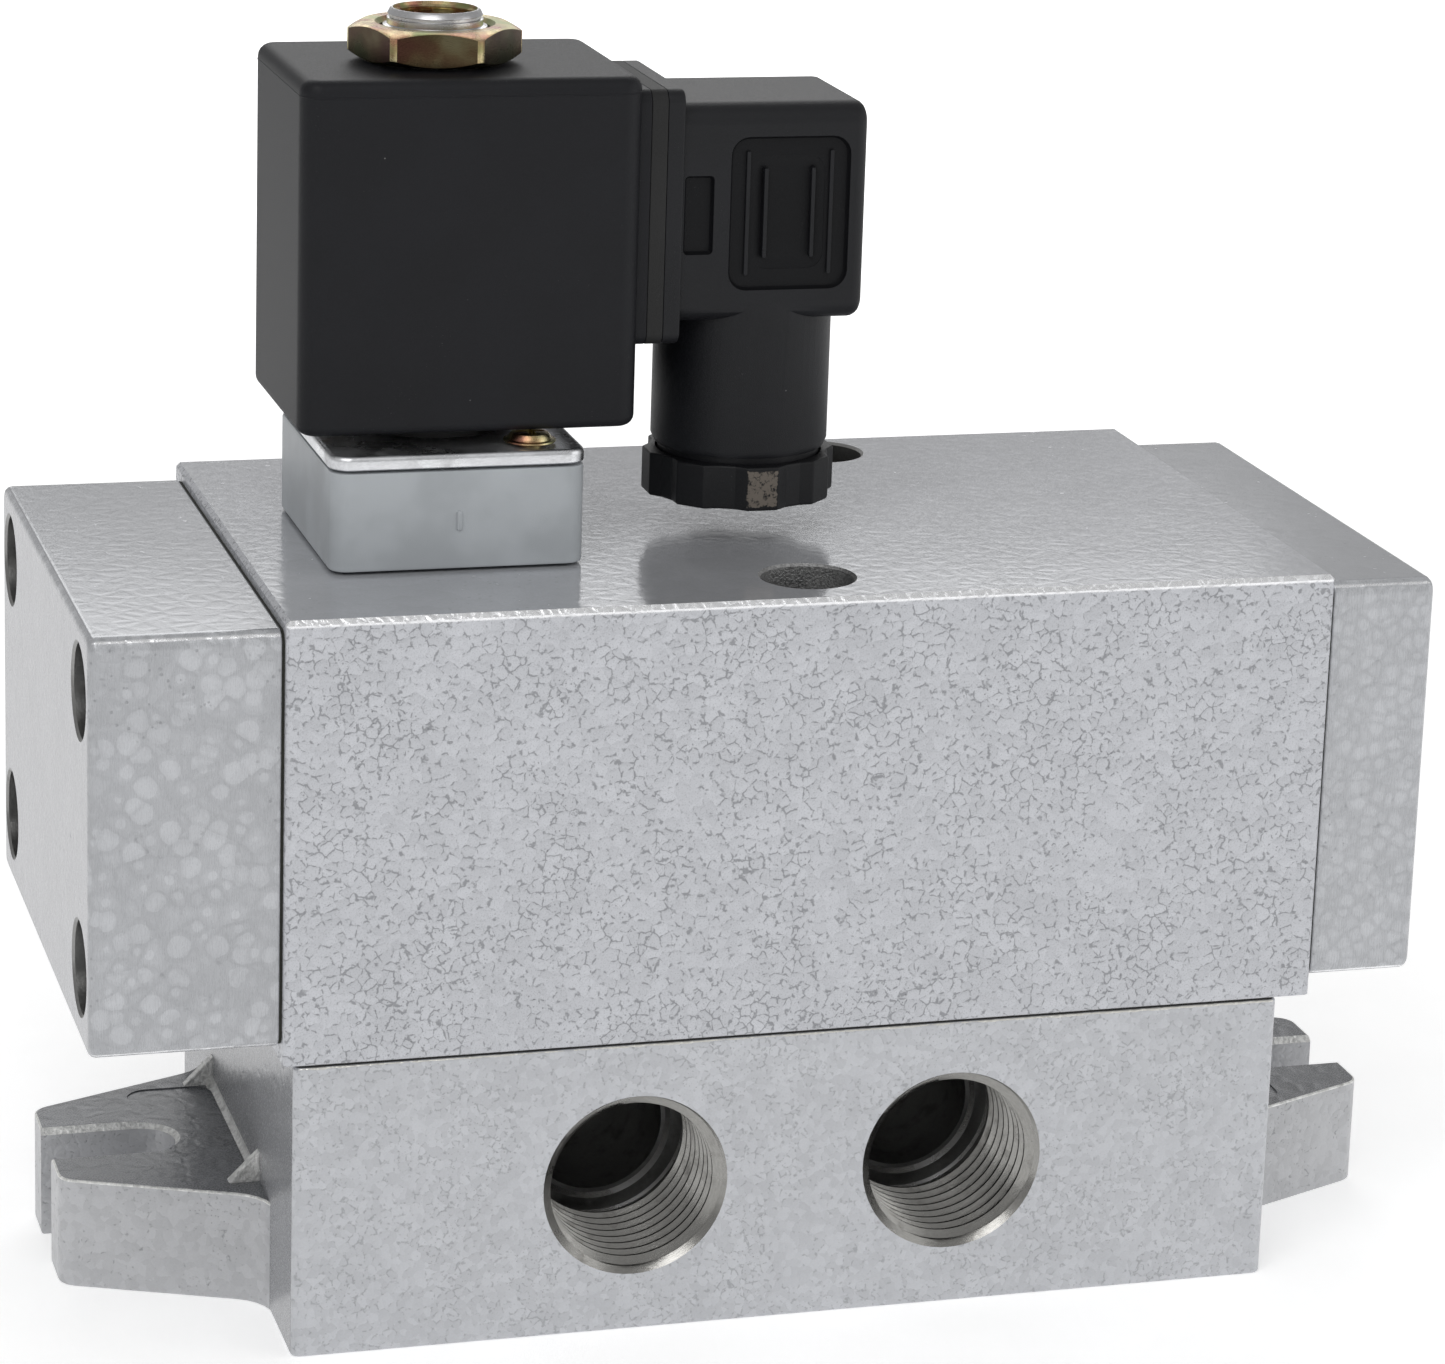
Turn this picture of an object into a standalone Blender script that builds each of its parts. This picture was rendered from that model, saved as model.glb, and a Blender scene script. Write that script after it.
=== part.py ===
"""Sub-base mounted solenoid directional valve: five ports, two positions, air pilot, spring return.

The script works in millimetres and scales every mesh to metres. The origin is the centre of the base plate's
underside: +X runs along the spool towards the spring cap, +Y to the back and +Z up.
"""

import math

import bmesh
import bpy
from mathutils import Vector

MM = 0.001
GAP = 0.3  # clearance kept between pieces that touch
TOLERANCE = 0.001  # for finding edges by their place
SIDES = 24  # facets round a piece that shows
INNER_SIDES = 16  # facets round a piece inside the valve

# Base plate
BASE_HALF_LENGTH = 57.5
BASE_TOP = 34.0
HALF_DEPTH = 35.9  # of the base plate and of the body
LUG_TIP_X = 79.5
LUG_HEIGHT = 13.0
LUG_ROOT_HALF = 20.5
LUG_TIP_HALF = 11.0
SLOT_WIDTH = 8.4
SLOT_CENTRE_X = 68.7  # middle of the slot's round end

# Ports: G 1/2 threads, drilled to the minor diameter
PORT_PITCH = 18.6
PORT_Z = 17.3
PORT_MOUTH_R = 10.63
PORT_THREAD_R = 9.35
PORT_THREAD_DEPTH = 15.5
PORT_RELIEF_R = 10.8
PORT_RELIEF_DEPTH = 18.5
PORT_BORE_R = 8.0
PORT_BORE_DEPTH = 38.0
PASSAGE_HALF = (4.5, 8.0)  # along X and Y, of the passages between base and body
PASSAGE_TOP = 56.0

# Body
BODY_LEFT = -58.7
BODY_RIGHT = 61.3
BODY_BOTTOM = BASE_TOP + GAP
BODY_TOP = 84.6
BODY_BOLTS = {"front": (1.7, -26.7), "rear_left": (-17.2, 29.2), "rear_right": (19.8, 29.2)}
BOLT_SINK_R = 5.25
BOLT_HEAD_Z = 66.3

# Spool and its bore, along X
SPOOL_Y = -1.0
SPOOL_Z = 60.0
BORE_R = 10.0
BORE_GROOVE_R = 13.0
BORE_LAND_HALF = 2.6
SPOOL_LAND_R = 9.4
SPOOL_NECK_R = 5.0
SPOOL_LAND_HALF = 3.0
SPOOL_LANDS = (-55.0, -27.9, -15.3, 9.3, 21.9, 47.0)
SPOOL_STROKE = 6.0
SEAL_GROOVE_R = 7.6
SEAL_OUTER_R = 9.7

# End caps
CAP_FRONT = -35.2
CAP_BACK = 32.8
CAP_BOTTOM = 36.2
CAP_TOP = 83.4
LEFT_CAP_END = -79.7
RIGHT_CAP_END = 74.0
CAP_SCREWS = ((-28.1, 44.5), (26.3, 44.5), (-28.1, 75.8), (26.3, 75.8))  # Y and Z
CAP_SINK_R = 5.2
CHAMBER_R = 15.5
CHAMBER_FLOOR = -72.0
PISTON_R = 14.9
SPRING_CHAMBER_R = 9.5
SPRING_CHAMBER_FLOOR = 71.0

# Pilot valve, on the axis of the armature tube
TUBE_X = -36.4
TUBE_Y = -3.0
PILOT_LOW = (-50.5, -18.6, BODY_TOP + GAP)
PILOT_HIGH = (-21.8, 12.7, 96.1)
PLATE_BOTTOM = 96.4
PLATE_TOP = 98.0
PLATE_SCREWS = ((8.9, -11.7), (-8.9, 11.7))  # from the tube's axis
TUBE_R = 5.8
TUBE_BORE_R = 4.6
TUBE_TOP = 145.0
CORE_BOTTOM = 118.0
PLUNGER_R = 4.2
PLUNGER_BOTTOM = 95.9
PLUNGER_TOP = 116.5  # the plunger lifts 1.2 mm

# Coil
COIL_LOW = (-53.75, -16.45, 99.7)
COIL_HIGH = (-16.45, 12.45, 139.1)
NUT_ACROSS_FLATS = 17.0
NUT_TOP = 143.4

# Connector
PLUG_Y = TUBE_Y
PLUG_Z = 123.0
FLANGE_HALF = (11.0, 14.4)  # along Y and Z
PLUG_HALF = (10.15, 12.4)
BOSS_END = -14.2
FLANGE_START = -12.3
FLANGE_END = -10.3
PLUG_END = 11.3
BLADE_OFFSET = 5.5
EARTH_OFFSET = 5.8
GLAND_X = 0.05
GLAND_R = 10.6
GLAND_BOTTOM = 94.7
GLAND_NUT_BOTTOM = 88.8
GLAND_NUT_TOP = 93.9

# Finishes: base colour, metallic, roughness
FINISHES = {
    "hammered_paint": ((0.45, 0.47, 0.49), 0.6, 0.35),
    "grey_moulding": ((0.30, 0.33, 0.35), 0.0, 0.45),
    "zinc_steel": ((0.62, 0.63, 0.64), 1.0, 0.35),
    "yellow_zinc": ((0.72, 0.60, 0.36), 1.0, 0.35),
    "dark_steel": ((0.10, 0.10, 0.11), 1.0, 0.45),
    "steel": ((0.55, 0.56, 0.57), 1.0, 0.30),
    "aluminium": ((0.75, 0.76, 0.77), 1.0, 0.35),
    "brass": ((0.78, 0.62, 0.32), 1.0, 0.30),
    "copper": ((0.72, 0.38, 0.22), 1.0, 0.35),
    "black_moulding": ((0.02, 0.02, 0.022), 0.0, 0.55),
    "black_rubber": ((0.015, 0.015, 0.015), 0.0, 0.75),
    "green_rubber": ((0.08, 0.10, 0.05), 0.0, 0.75),
    "white_nylon": ((0.75, 0.74, 0.70), 0.0, 0.50),
}

AXES = {"X": (1, 2, 0), "Y": (2, 0, 1), "Z": (0, 1, 2)}  # two crosswise axes, then the axis itself


def clear_scene():
    """Removes every object that the new file starts with."""
    for thing in list(bpy.data.objects):
        bpy.data.objects.remove(thing, do_unlink=True)


def finish_material(finish):
    """Gives the Principled material of a finish, made once."""
    if finish in bpy.data.materials:
        return bpy.data.materials[finish]
    colour, metallic, roughness = FINISHES[finish]
    material = bpy.data.materials.new(finish)
    material.use_nodes = True
    shader = material.node_tree.nodes["Principled BSDF"]
    shader.inputs["Base Color"].default_value = (*colour, 1.0)
    shader.inputs["Metallic"].default_value = metallic
    shader.inputs["Roughness"].default_value = roughness
    return material


def add_object(name, bm, finish=None):
    """Turns a bmesh in millimetres into an object in metres; without a finish it is a hidden cutter."""
    bmesh.ops.recalc_face_normals(bm, faces=bm.faces)
    bmesh.ops.scale(bm, vec=(MM, MM, MM), verts=bm.verts)
    mesh = bpy.data.meshes.new(name)
    bm.to_mesh(mesh)
    bm.free()
    thing = bpy.data.objects.new(name, mesh)
    bpy.context.scene.collection.objects.link(thing)
    if finish is None:
        thing.hide_render = True
        thing.display_type = "WIRE"
    else:
        mesh.materials.append(finish_material(finish))
        mesh.shade_smooth()
        mesh.set_sharp_from_angle(angle=math.radians(35))
    return thing


def combine(thing, other, operation):
    """Joins or cuts a piece with a hidden helper."""
    modifier = thing.modifiers.new(other.name, "BOOLEAN")
    modifier.operation = operation
    modifier.solver = "EXACT"
    modifier.object = other


def cut(thing, *cutters):
    """Takes each cutter's volume out of a piece."""
    for cutter in cutters:
        combine(thing, cutter, "DIFFERENCE")


def join(thing, *additions):
    """Adds each helper's volume to a piece."""
    for addition in additions:
        combine(thing, addition, "UNION")


def soften(bm, radius, segments, wanted):
    """Rounds the edges whose two ends satisfy wanted(a, b)."""
    edges = [e for e in bm.edges if wanted(e.verts[0].co, e.verts[1].co)]
    bmesh.ops.bevel(bm, geom=edges, offset=radius, segments=segments, profile=0.5, affect="EDGES")


def along(axis):
    """Gives a test for edges that run along an axis."""
    index = "XYZ".index(axis)
    return lambda a, b: all(abs(a[i] - b[i]) < TOLERANCE for i in range(3) if i != index)


def on_face(axis, value):
    """Gives a test for edges that lie in one plane across an axis."""
    index = "XYZ".index(axis)
    return lambda a, b: abs(a[index] - value) < TOLERANCE and abs(b[index] - value) < TOLERANCE


def block(name, low, high, finish=None, rounds=()):
    """Makes a box between two corners; rounds lists (radius, segments, edge test)."""
    bm = bmesh.new()
    bmesh.ops.create_cube(bm, size=1.0)
    low, high = Vector(low), Vector(high)
    for vertex in bm.verts:
        vertex.co = [low[i] + (vertex.co[i] + 0.5) * (high[i] - low[i]) for i in range(3)]
    for radius, segments, wanted in rounds:
        soften(bm, radius, segments, wanted)
    return add_object(name, bm, finish)


def prism(name, axis, outline, start, end, finish=None, rounds=()):
    """Extrudes a flat outline of crosswise points along an axis."""
    across, up, length = AXES[axis]
    bm = bmesh.new()
    ends = []
    for place in (start, end):
        ring = []
        for u, v in outline:
            point = [0.0, 0.0, 0.0]
            point[across], point[up], point[length] = u, v, place
            ring.append(bm.verts.new(point))
        ends.append(ring)
    bm.faces.new(ends[0])
    bm.faces.new(ends[1])
    count = len(outline)
    for i in range(count):
        j = (i + 1) % count
        bm.faces.new((ends[0][i], ends[0][j], ends[1][j], ends[1][i]))
    for radius, segments, wanted in rounds:
        soften(bm, radius, segments, wanted)
    return add_object(name, bm, finish)


def hexagon(across_flats, angle):
    """Gives a hexagon's radius at an angle from one of its corners."""
    sixth = math.pi / 3
    return across_flats / 2 / math.cos((angle % sixth) - sixth / 2)


def turned(name, axis, centre, outline, finish=None, sides=SIDES, closed=False):
    """Turns an outline about an axis.

    outline lists (place along the axis, radius) or (place, width across flats, "hex"). An open outline is closed
    with flat discs on the axis; a closed one makes a ring.
    """
    across, up, length = AXES[axis]
    bm = bmesh.new()
    rings = []
    for place, size, *form in outline:
        ring = []
        for k in range(sides):
            angle = 2 * math.pi * k / sides
            radius = hexagon(size, angle) if form else size
            point = [0.0, 0.0, 0.0]
            point[across] = centre[0] + radius * math.cos(angle)
            point[up] = centre[1] + radius * math.sin(angle)
            point[length] = place
            ring.append(bm.verts.new(point))
        rings.append(ring)
    pairs = list(zip(rings, rings[1:]))
    if closed:
        pairs.append((rings[-1], rings[0]))
    else:
        bm.faces.new(rings[0])
        bm.faces.new(rings[-1])
    for a, b in pairs:
        for i in range(sides):
            j = (i + 1) % sides
            bm.faces.new((a[i], a[j], b[j], b[i]))
    return add_object(name, bm, finish)


def ring(name, axis, centre, start, end, inner, outer, finish, sides=INNER_SIDES):
    """Makes a flat-sided ring."""
    outline = [(start, inner), (start, outer), (end, outer), (end, inner)]
    return turned(name, axis, centre, outline, finish, sides, closed=True)


def drill(name, axis, centre, start, end, radius, sides=INNER_SIDES):
    """Makes a plain round cutter."""
    return turned(name, axis, centre, [(start, radius), (end, radius)], None, sides)


def spring(name, axis, centre, start, end, radius, wire_r, turns, finish, steps=12):
    """Winds a compression spring whose end turns lie close together."""
    across, up, length = AXES[axis]
    low, high = start + wire_r, end - wire_r
    dead = 1.0  # closed turns at each end
    total = turns + 2 * dead
    rise = (high - low - 4 * wire_r * dead) / turns
    curve = bpy.data.curves.new(name, "CURVE")
    curve.dimensions = "3D"
    curve.bevel_depth = wire_r * MM
    curve.bevel_resolution = 0
    curve.render_resolution_u = 0
    curve.use_fill_caps = True
    count = int(total * steps) + 1
    line = curve.splines.new("POLY")
    line.points.add(count - 1)
    for i in range(count):
        turn = i / steps
        place = low + 2 * wire_r * min(turn, dead)
        place += rise * max(0.0, min(turn, total - dead) - dead)
        place += 2 * wire_r * max(0.0, turn - (total - dead))
        angle = 2 * math.pi * turn
        point = [0.0, 0.0, 0.0]
        point[across] = centre[0] + radius * math.cos(angle)
        point[up] = centre[1] + radius * math.sin(angle)
        point[length] = place
        line.points[i].co = (*(Vector(point) * MM), 1.0)
    curve.materials.append(finish_material(finish))
    thing = bpy.data.objects.new(name, curve)
    bpy.context.scene.collection.objects.link(thing)
    return thing


def socket_screw(name, axis, centre, top, tip, size, finish, direction=1):
    """Makes a socket head cap screw; size is its thread diameter, direction points out of the head."""
    head_r, head_h = 0.81 * size, 0.85 * size
    under = top - direction * head_h
    floor = top - direction * 0.55 * head_h
    chamfer = 0.06 * size
    outline = [
        (floor, 0.82 * size, "hex"),
        (top, 0.82 * size, "hex"),
        (top, head_r - chamfer),
        (top - direction * chamfer, head_r),
        (under, head_r),
        (under, 0.48 * size),
        (tip + direction * chamfer, 0.48 * size),
        (tip, 0.40 * size),
    ]
    return turned(name, axis, centre, outline, finish, sides=12)


def lug(name, side):
    """Makes the solid of one fixing lug, side -1 for the left and 1 for the right."""
    root_x = side * (BASE_HALF_LENGTH - 2.0)
    tip_x = side * LUG_TIP_X
    slope = (LUG_ROOT_HALF - LUG_TIP_HALF) / (LUG_TIP_X - BASE_HALF_LENGTH)
    root_half = LUG_ROOT_HALF + 2.0 * slope
    outline = [(root_x, -root_half), (tip_x, -LUG_TIP_HALF), (tip_x, LUG_TIP_HALF), (root_x, root_half)]
    at_tip = on_face("X", tip_x)
    upright = along("Z")
    corner = (2.5, 3, lambda a, b: at_tip(a, b) and upright(a, b))
    return prism(name, "Z", outline, 0.0, LUG_HEIGHT, rounds=(corner,))


def slot_cutter(name, side):
    """Makes the cutter of a lug's open slot."""
    half = SLOT_WIDTH / 2
    outline = []
    for k in range(13):
        angle = math.pi / 2 + math.pi * k / 12
        outline.append((side * (SLOT_CENTRE_X + half * math.cos(angle)), half * math.sin(angle)))
    outline.append((side * (LUG_TIP_X + 5.0), -half))
    outline.append((side * (LUG_TIP_X + 5.0), half))
    return prism(name, "Z", outline, -2.0, LUG_HEIGHT + 2.0)


def port_cutter(name, x, face, inward):
    """Makes the cutter of one threaded port; inward is +1 from the front face and -1 from the back."""
    depths = [
        (-0.5, PORT_MOUTH_R + 0.5),
        (PORT_MOUTH_R - PORT_THREAD_R, PORT_THREAD_R),
        (PORT_THREAD_DEPTH, PORT_THREAD_R),
        (PORT_THREAD_DEPTH, PORT_RELIEF_R),
        (PORT_RELIEF_DEPTH, PORT_RELIEF_R),
        (PORT_RELIEF_DEPTH, PORT_BORE_R),
        (PORT_BORE_DEPTH, PORT_BORE_R),
    ]
    outline = [(face + inward * depth, radius) for depth, radius in depths]
    return turned(name, "Y", (PORT_Z, x), outline)


def port_places():
    """Lists the five ports as (name, x, face, inward)."""
    front = [("a", -PORT_PITCH), ("b", PORT_PITCH)]
    back = [("exhaust_a", -2 * PORT_PITCH), ("supply", 0.0), ("exhaust_b", 2 * PORT_PITCH)]
    places = [(name, x, -HALF_DEPTH, 1) for name, x in front]
    return places + [(name, x, HALF_DEPTH, -1) for name, x in back]


def passage(name, x, bottom, top):
    """Makes the cutter of one upright air passage."""
    half_x, half_y = PASSAGE_HALF
    return block(name, (x - half_x, SPOOL_Y - half_y, bottom), (x + half_x, SPOOL_Y + half_y, top))


def make_base_plate():
    """Makes the cast base plate with its lugs, ports and bolt holes."""
    low = (-BASE_HALF_LENGTH, -HALF_DEPTH, 0.0)
    high = (BASE_HALF_LENGTH, HALF_DEPTH, BASE_TOP)
    plate = block("base_plate", low, high, "hammered_paint", rounds=((0.8, 1, along("Z")),))
    for label, side in (("left", -1), ("right", 1)):
        join(plate, lug(f"cut_lug_{label}", side))
        cut(plate, slot_cutter(f"cut_slot_{label}", side))
    pocket_low = (-47.0, SPOOL_Y - 12.3, BASE_TOP - 1.6)
    cut(plate, block("cut_gasket_pocket", pocket_low, (47.0, SPOOL_Y + 12.3, BASE_TOP + 1.0)))
    for name, x, face, inward in port_places():
        cut(plate, port_cutter(f"cut_port_{name}", x, face, inward))
        cut(plate, passage(f"cut_base_passage_{name}", x, PORT_Z, BASE_TOP + 1.0))
    for name, place in BODY_BOLTS.items():
        cut(plate, drill(f"cut_base_bolt_{name}", "Z", place, 20.0, BASE_TOP + 1.0, 3.2, 12))


def make_base_gasket():
    """Makes the flat gasket between base plate and body, with a window for each passage."""
    low = (-46.7, SPOOL_Y - 12.0, BASE_TOP - 1.3)
    gasket = block("base_gasket", low, (46.7, SPOOL_Y + 12.0, BASE_TOP), "green_rubber")
    for name, x, _, _ in port_places():
        cut(gasket, passage(f"cut_gasket_window_{name}", x, BASE_TOP - 3.0, BASE_TOP + 3.0))


def spool_bore():
    """Makes the cutter of the spool bore, with a groove at each of the five ports."""
    outline = [(BODY_LEFT - 1.0, BORE_R)]
    groove_half = PORT_PITCH / 2 - BORE_LAND_HALF
    for k in range(-2, 3):
        middle = k * PORT_PITCH
        outline.append((middle - groove_half, BORE_R))
        outline.append((middle - groove_half, BORE_GROOVE_R))
        outline.append((middle + groove_half, BORE_GROOVE_R))
        outline.append((middle + groove_half, BORE_R))
    outline.append((BODY_RIGHT + 1.0, BORE_R))
    return turned("cut_spool_bore", "X", (SPOOL_Y, SPOOL_Z), outline, sides=INNER_SIDES)


def make_valve_body():
    """Makes the body with its spool bore, passages and screw holes."""
    low = (BODY_LEFT, -HALF_DEPTH, BODY_BOTTOM)
    high = (BODY_RIGHT, HALF_DEPTH, BODY_TOP)
    body = block("valve_body", low, high, "hammered_paint", rounds=((0.6, 1, on_face("Z", BODY_TOP)),))
    cut(body, spool_bore())
    for name, x, _, _ in port_places():
        cut(body, passage(f"cut_body_passage_{name}", x, BODY_BOTTOM - 1.0, PASSAGE_TOP))
    for name, place in BODY_BOLTS.items():
        outline = [
            (BODY_TOP + 1.0, BOLT_SINK_R),
            (BOLT_HEAD_Z - GAP, BOLT_SINK_R),
            (BOLT_HEAD_Z - GAP, 3.4),
            (BODY_BOTTOM - 1.0, 3.4),
        ]
        cut(body, turned(f"cut_body_bolt_{name}", "Z", place, outline, sides=INNER_SIDES))
    for k, place in enumerate(CAP_SCREWS, start=1):
        cut(body, drill(f"cut_left_thread_{k}", "X", place, BODY_LEFT - 1.0, -44.0, 3.2, 12))
        cut(body, drill(f"cut_right_thread_{k}", "X", place, 44.0, BODY_RIGHT + 1.0, 3.2, 12))


def make_cap(side, inner_face, outer_face, step_r, chamber_r, chamber_floor, sink_floor):
    """Makes one end cap: a stepped chamber inside and four sunk screw holes."""
    low = (min(inner_face, outer_face), CAP_FRONT, CAP_BOTTOM)
    high = (max(inner_face, outer_face), CAP_BACK, CAP_TOP)
    rounds = ((1.6, 2, along("X")), (1.0, 1, on_face("X", outer_face)))
    cap = block(f"{side}_cap", low, high, "hammered_paint", rounds)
    out = 1.0 if outer_face > inner_face else -1.0
    outline = [
        (inner_face - out, step_r),
        (inner_face + out * 1.3, step_r),
        (inner_face + out * 1.3, chamber_r),
        (chamber_floor, chamber_r),
    ]
    cut(cap, turned(f"cut_{side}_chamber", "X", (SPOOL_Y, SPOOL_Z), outline))
    for k, place in enumerate(CAP_SCREWS, start=1):
        sink = [(outer_face + out, CAP_SINK_R), (sink_floor, CAP_SINK_R), (sink_floor, 3.3), (inner_face - out, 3.3)]
        cut(cap, turned(f"cut_{side}_sink_{k}", "X", place, sink, sides=18))


def make_end_caps():
    """Makes both end caps, their gaskets and their eight screws."""
    left_face, right_face = BODY_LEFT - GAP, BODY_RIGHT + GAP
    make_cap("left", left_face, LEFT_CAP_END, 20.3, CHAMBER_R, CHAMBER_FLOOR, -70.0)
    make_cap("right", right_face, RIGHT_CAP_END, 16.3, SPRING_CHAMBER_R, SPRING_CHAMBER_FLOOR, 66.6)
    centre = (SPOOL_Y, SPOOL_Z)
    ring("left_cap_gasket", "X", centre, left_face - 1.0, left_face, CHAMBER_R + GAP, 20.0, "green_rubber", SIDES)
    ring("right_cap_gasket", "X", centre, right_face, right_face + 1.0, SPRING_CHAMBER_R + GAP, 16.0, "green_rubber")
    for k, place in enumerate(CAP_SCREWS, start=1):
        socket_screw(f"left_cap_screw_{k}", "X", place, -75.4, -46.0, 6.0, "dark_steel", direction=-1)
        socket_screw(f"right_cap_screw_{k}", "X", place, 72.0, 46.0, 6.0, "dark_steel")


def make_body_bolts():
    """Makes the three bolts that hold the body on the base plate."""
    for name, place in BODY_BOLTS.items():
        socket_screw(f"body_bolt_{name}", "Z", place, BOLT_HEAD_Z + 5.1, 22.0, 6.0, "dark_steel")


def make_spool():
    """Makes the spool with its six seals, the spring seat and the return spring."""
    centre = (SPOOL_Y, SPOOL_Z)
    outline = []
    for k, middle in enumerate(SPOOL_LANDS):
        first, last = middle - SPOOL_LAND_HALF, middle + SPOOL_LAND_HALF
        if k > 0:
            outline.append((first, SPOOL_NECK_R))
        outline.append((first, SPOOL_LAND_R))
        outline.append((middle - 1.5, SPOOL_LAND_R))
        outline.append((middle - 1.5, SEAL_GROOVE_R))
        outline.append((middle + 1.5, SEAL_GROOVE_R))
        outline.append((middle + 1.5, SPOOL_LAND_R))
        outline.append((last, SPOOL_LAND_R))
        if k < len(SPOOL_LANDS) - 1:
            outline.append((last, SPOOL_NECK_R))
    pieces = [turned("spool", "X", centre, outline, "aluminium", sides=12)]
    for k, middle in enumerate(SPOOL_LANDS, start=1):
        name = f"spool_seal_{k}"
        first, last = middle - 1.2, middle + 1.2
        pieces.append(ring(name, "X", centre, first, last, SEAL_GROOVE_R + GAP + 0.1, SEAL_OUTER_R, "black_rubber"))
    spool_end = SPOOL_LANDS[-1] + SPOOL_LAND_HALF
    seat_end = spool_end + GAP + 2.0
    pieces.append(ring("spring_seat", "X", centre, spool_end + GAP, seat_end, 3.0, 9.2, "steel"))
    spring("return_spring", "X", centre, seat_end + GAP, SPRING_CHAMBER_FLOOR - GAP, 7.4, 0.8, 4, "steel", steps=10)
    return pieces


def make_piston():
    """Makes the pilot piston with its rod, and the seal round it."""
    centre = (SPOOL_Y, SPOOL_Z)
    back = CHAMBER_FLOOR + 2 * GAP
    groove = (back + 1.5, back + 4.5)
    rod_end = SPOOL_LANDS[0] - SPOOL_LAND_HALF - GAP
    outline = [
        (back, PISTON_R),
        (groove[0], PISTON_R),
        (groove[0], 12.4),
        (groove[1], 12.4),
        (groove[1], PISTON_R),
        (back + 6.0, PISTON_R),
        (back + 6.0, 5.0),
        (rod_end, 5.0),
    ]
    piston = turned("pilot_piston", "X", centre, outline, "aluminium")
    seal = ring("piston_seal", "X", centre, groove[0] + GAP, groove[1] - GAP, 12.8, 15.2, "black_rubber")
    return [piston, seal]


def make_pilot_valve():
    """Makes the pilot block, its clamp plate, seals and screws."""
    axis = (TUBE_X, TUBE_Y)
    pilot = block("pilot_block", PILOT_LOW, PILOT_HIGH, "grey_moulding", rounds=((2.0, 3, along("Z")),))
    bottom, top = PILOT_LOW[2], PILOT_HIGH[2]
    recess = [(top + 1.0, 8.8), (92.6, 8.8), (92.6, 2.9), (bottom + 1.0, 2.9)]
    cut(pilot, turned("cut_pilot_recess", "Z", axis, recess))
    cut(pilot, drill("cut_pilot_gasket", "Z", axis, bottom - 1.0, bottom + 1.5, 9.3))
    ring("pilot_gasket", "Z", axis, bottom, bottom + 1.2, 4.0, 9.0, "black_rubber")
    ring("pilot_seat", "Z", axis, bottom + 2.1, 95.0, 1.0, 2.6, "brass", 12)
    ring("tube_seal", "Z", axis, 92.9, 94.2, 6.4, 8.5, "black_rubber")
    plate_low = (PILOT_LOW[0] - 0.1, PILOT_LOW[1] - 0.1, PLATE_BOTTOM)
    plate_high = (PILOT_HIGH[0] + 0.1, PILOT_HIGH[1] + 0.1, PLATE_TOP)
    plate = block("clamp_plate", plate_low, plate_high, "zinc_steel", rounds=((2.4, 3, along("Z")),))
    cut(plate, drill("cut_plate_bore", "Z", axis, PLATE_BOTTOM - 1.0, PLATE_TOP + 1.0, TUBE_R + 0.5))
    for k, (dx, dy) in enumerate(PLATE_SCREWS, start=1):
        place = (TUBE_X + dx, TUBE_Y + dy)
        cut(plate, drill(f"cut_plate_hole_{k}", "Z", place, PLATE_BOTTOM - 1.0, PLATE_TOP + 1.0, 1.9, 14))
        cut(pilot, drill(f"cut_pilot_hole_{k}", "Z", place, 86.5, top + 1.0, 1.8, 14))
        head = [(99.4, 2.4), (99.0, 2.95), (PLATE_TOP + GAP, 2.95), (PLATE_TOP + GAP, 1.45), (87.0, 1.45)]
        turned(f"plate_screw_{k}", "Z", place, head, "yellow_zinc", sides=12)


def make_armature():
    """Makes the armature tube and the pieces inside it; gives those that move with the plunger."""
    axis = (TUBE_X, TUBE_Y)
    tube = [
        (94.5, TUBE_BORE_R),
        (94.5, 8.4),
        (96.0, 8.4),
        (96.0, TUBE_R),
        (TUBE_TOP - 0.6, TUBE_R),
        (TUBE_TOP, TUBE_R - 0.6),
        (TUBE_TOP, TUBE_BORE_R),
    ]
    turned("armature_tube", "Z", axis, tube, "steel", closed=True)
    core = [
        (CORE_BOTTOM, 1.0),
        (CORE_BOTTOM, 2.6),
        (CORE_BOTTOM + 2.1, 2.6),
        (CORE_BOTTOM + 2.1, 3.8),
        (CORE_BOTTOM, 3.8),
        (CORE_BOTTOM, 4.25),
        (136.5, 4.25),
        (136.5, 1.0),
    ]
    turned("fixed_core", "Z", axis, core, "steel", INNER_SIDES, closed=True)
    ring("shading_ring", "Z", axis, CORE_BOTTOM + 0.2, CORE_BOTTOM + 1.8, 2.9, 3.5, "copper")
    plunger = [
        (97.6, 2.9),
        (PLUNGER_BOTTOM, 2.9),
        (PLUNGER_BOTTOM, PLUNGER_R),
        (PLUNGER_TOP, PLUNGER_R),
        (PLUNGER_TOP, 2.4),
        (106.5, 2.4),
    ]
    moving = [turned("plunger", "Z", axis, plunger, "steel", INNER_SIDES)]
    moving.append(turned("plunger_seal", "Z", axis, [(95.3, 2.6), (97.3, 2.6)], "black_rubber", sides=12))
    spring("plunger_spring", "Z", axis, 106.8, CORE_BOTTOM - GAP, 1.7, 0.25, 6, "steel", steps=8)
    return moving


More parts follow.
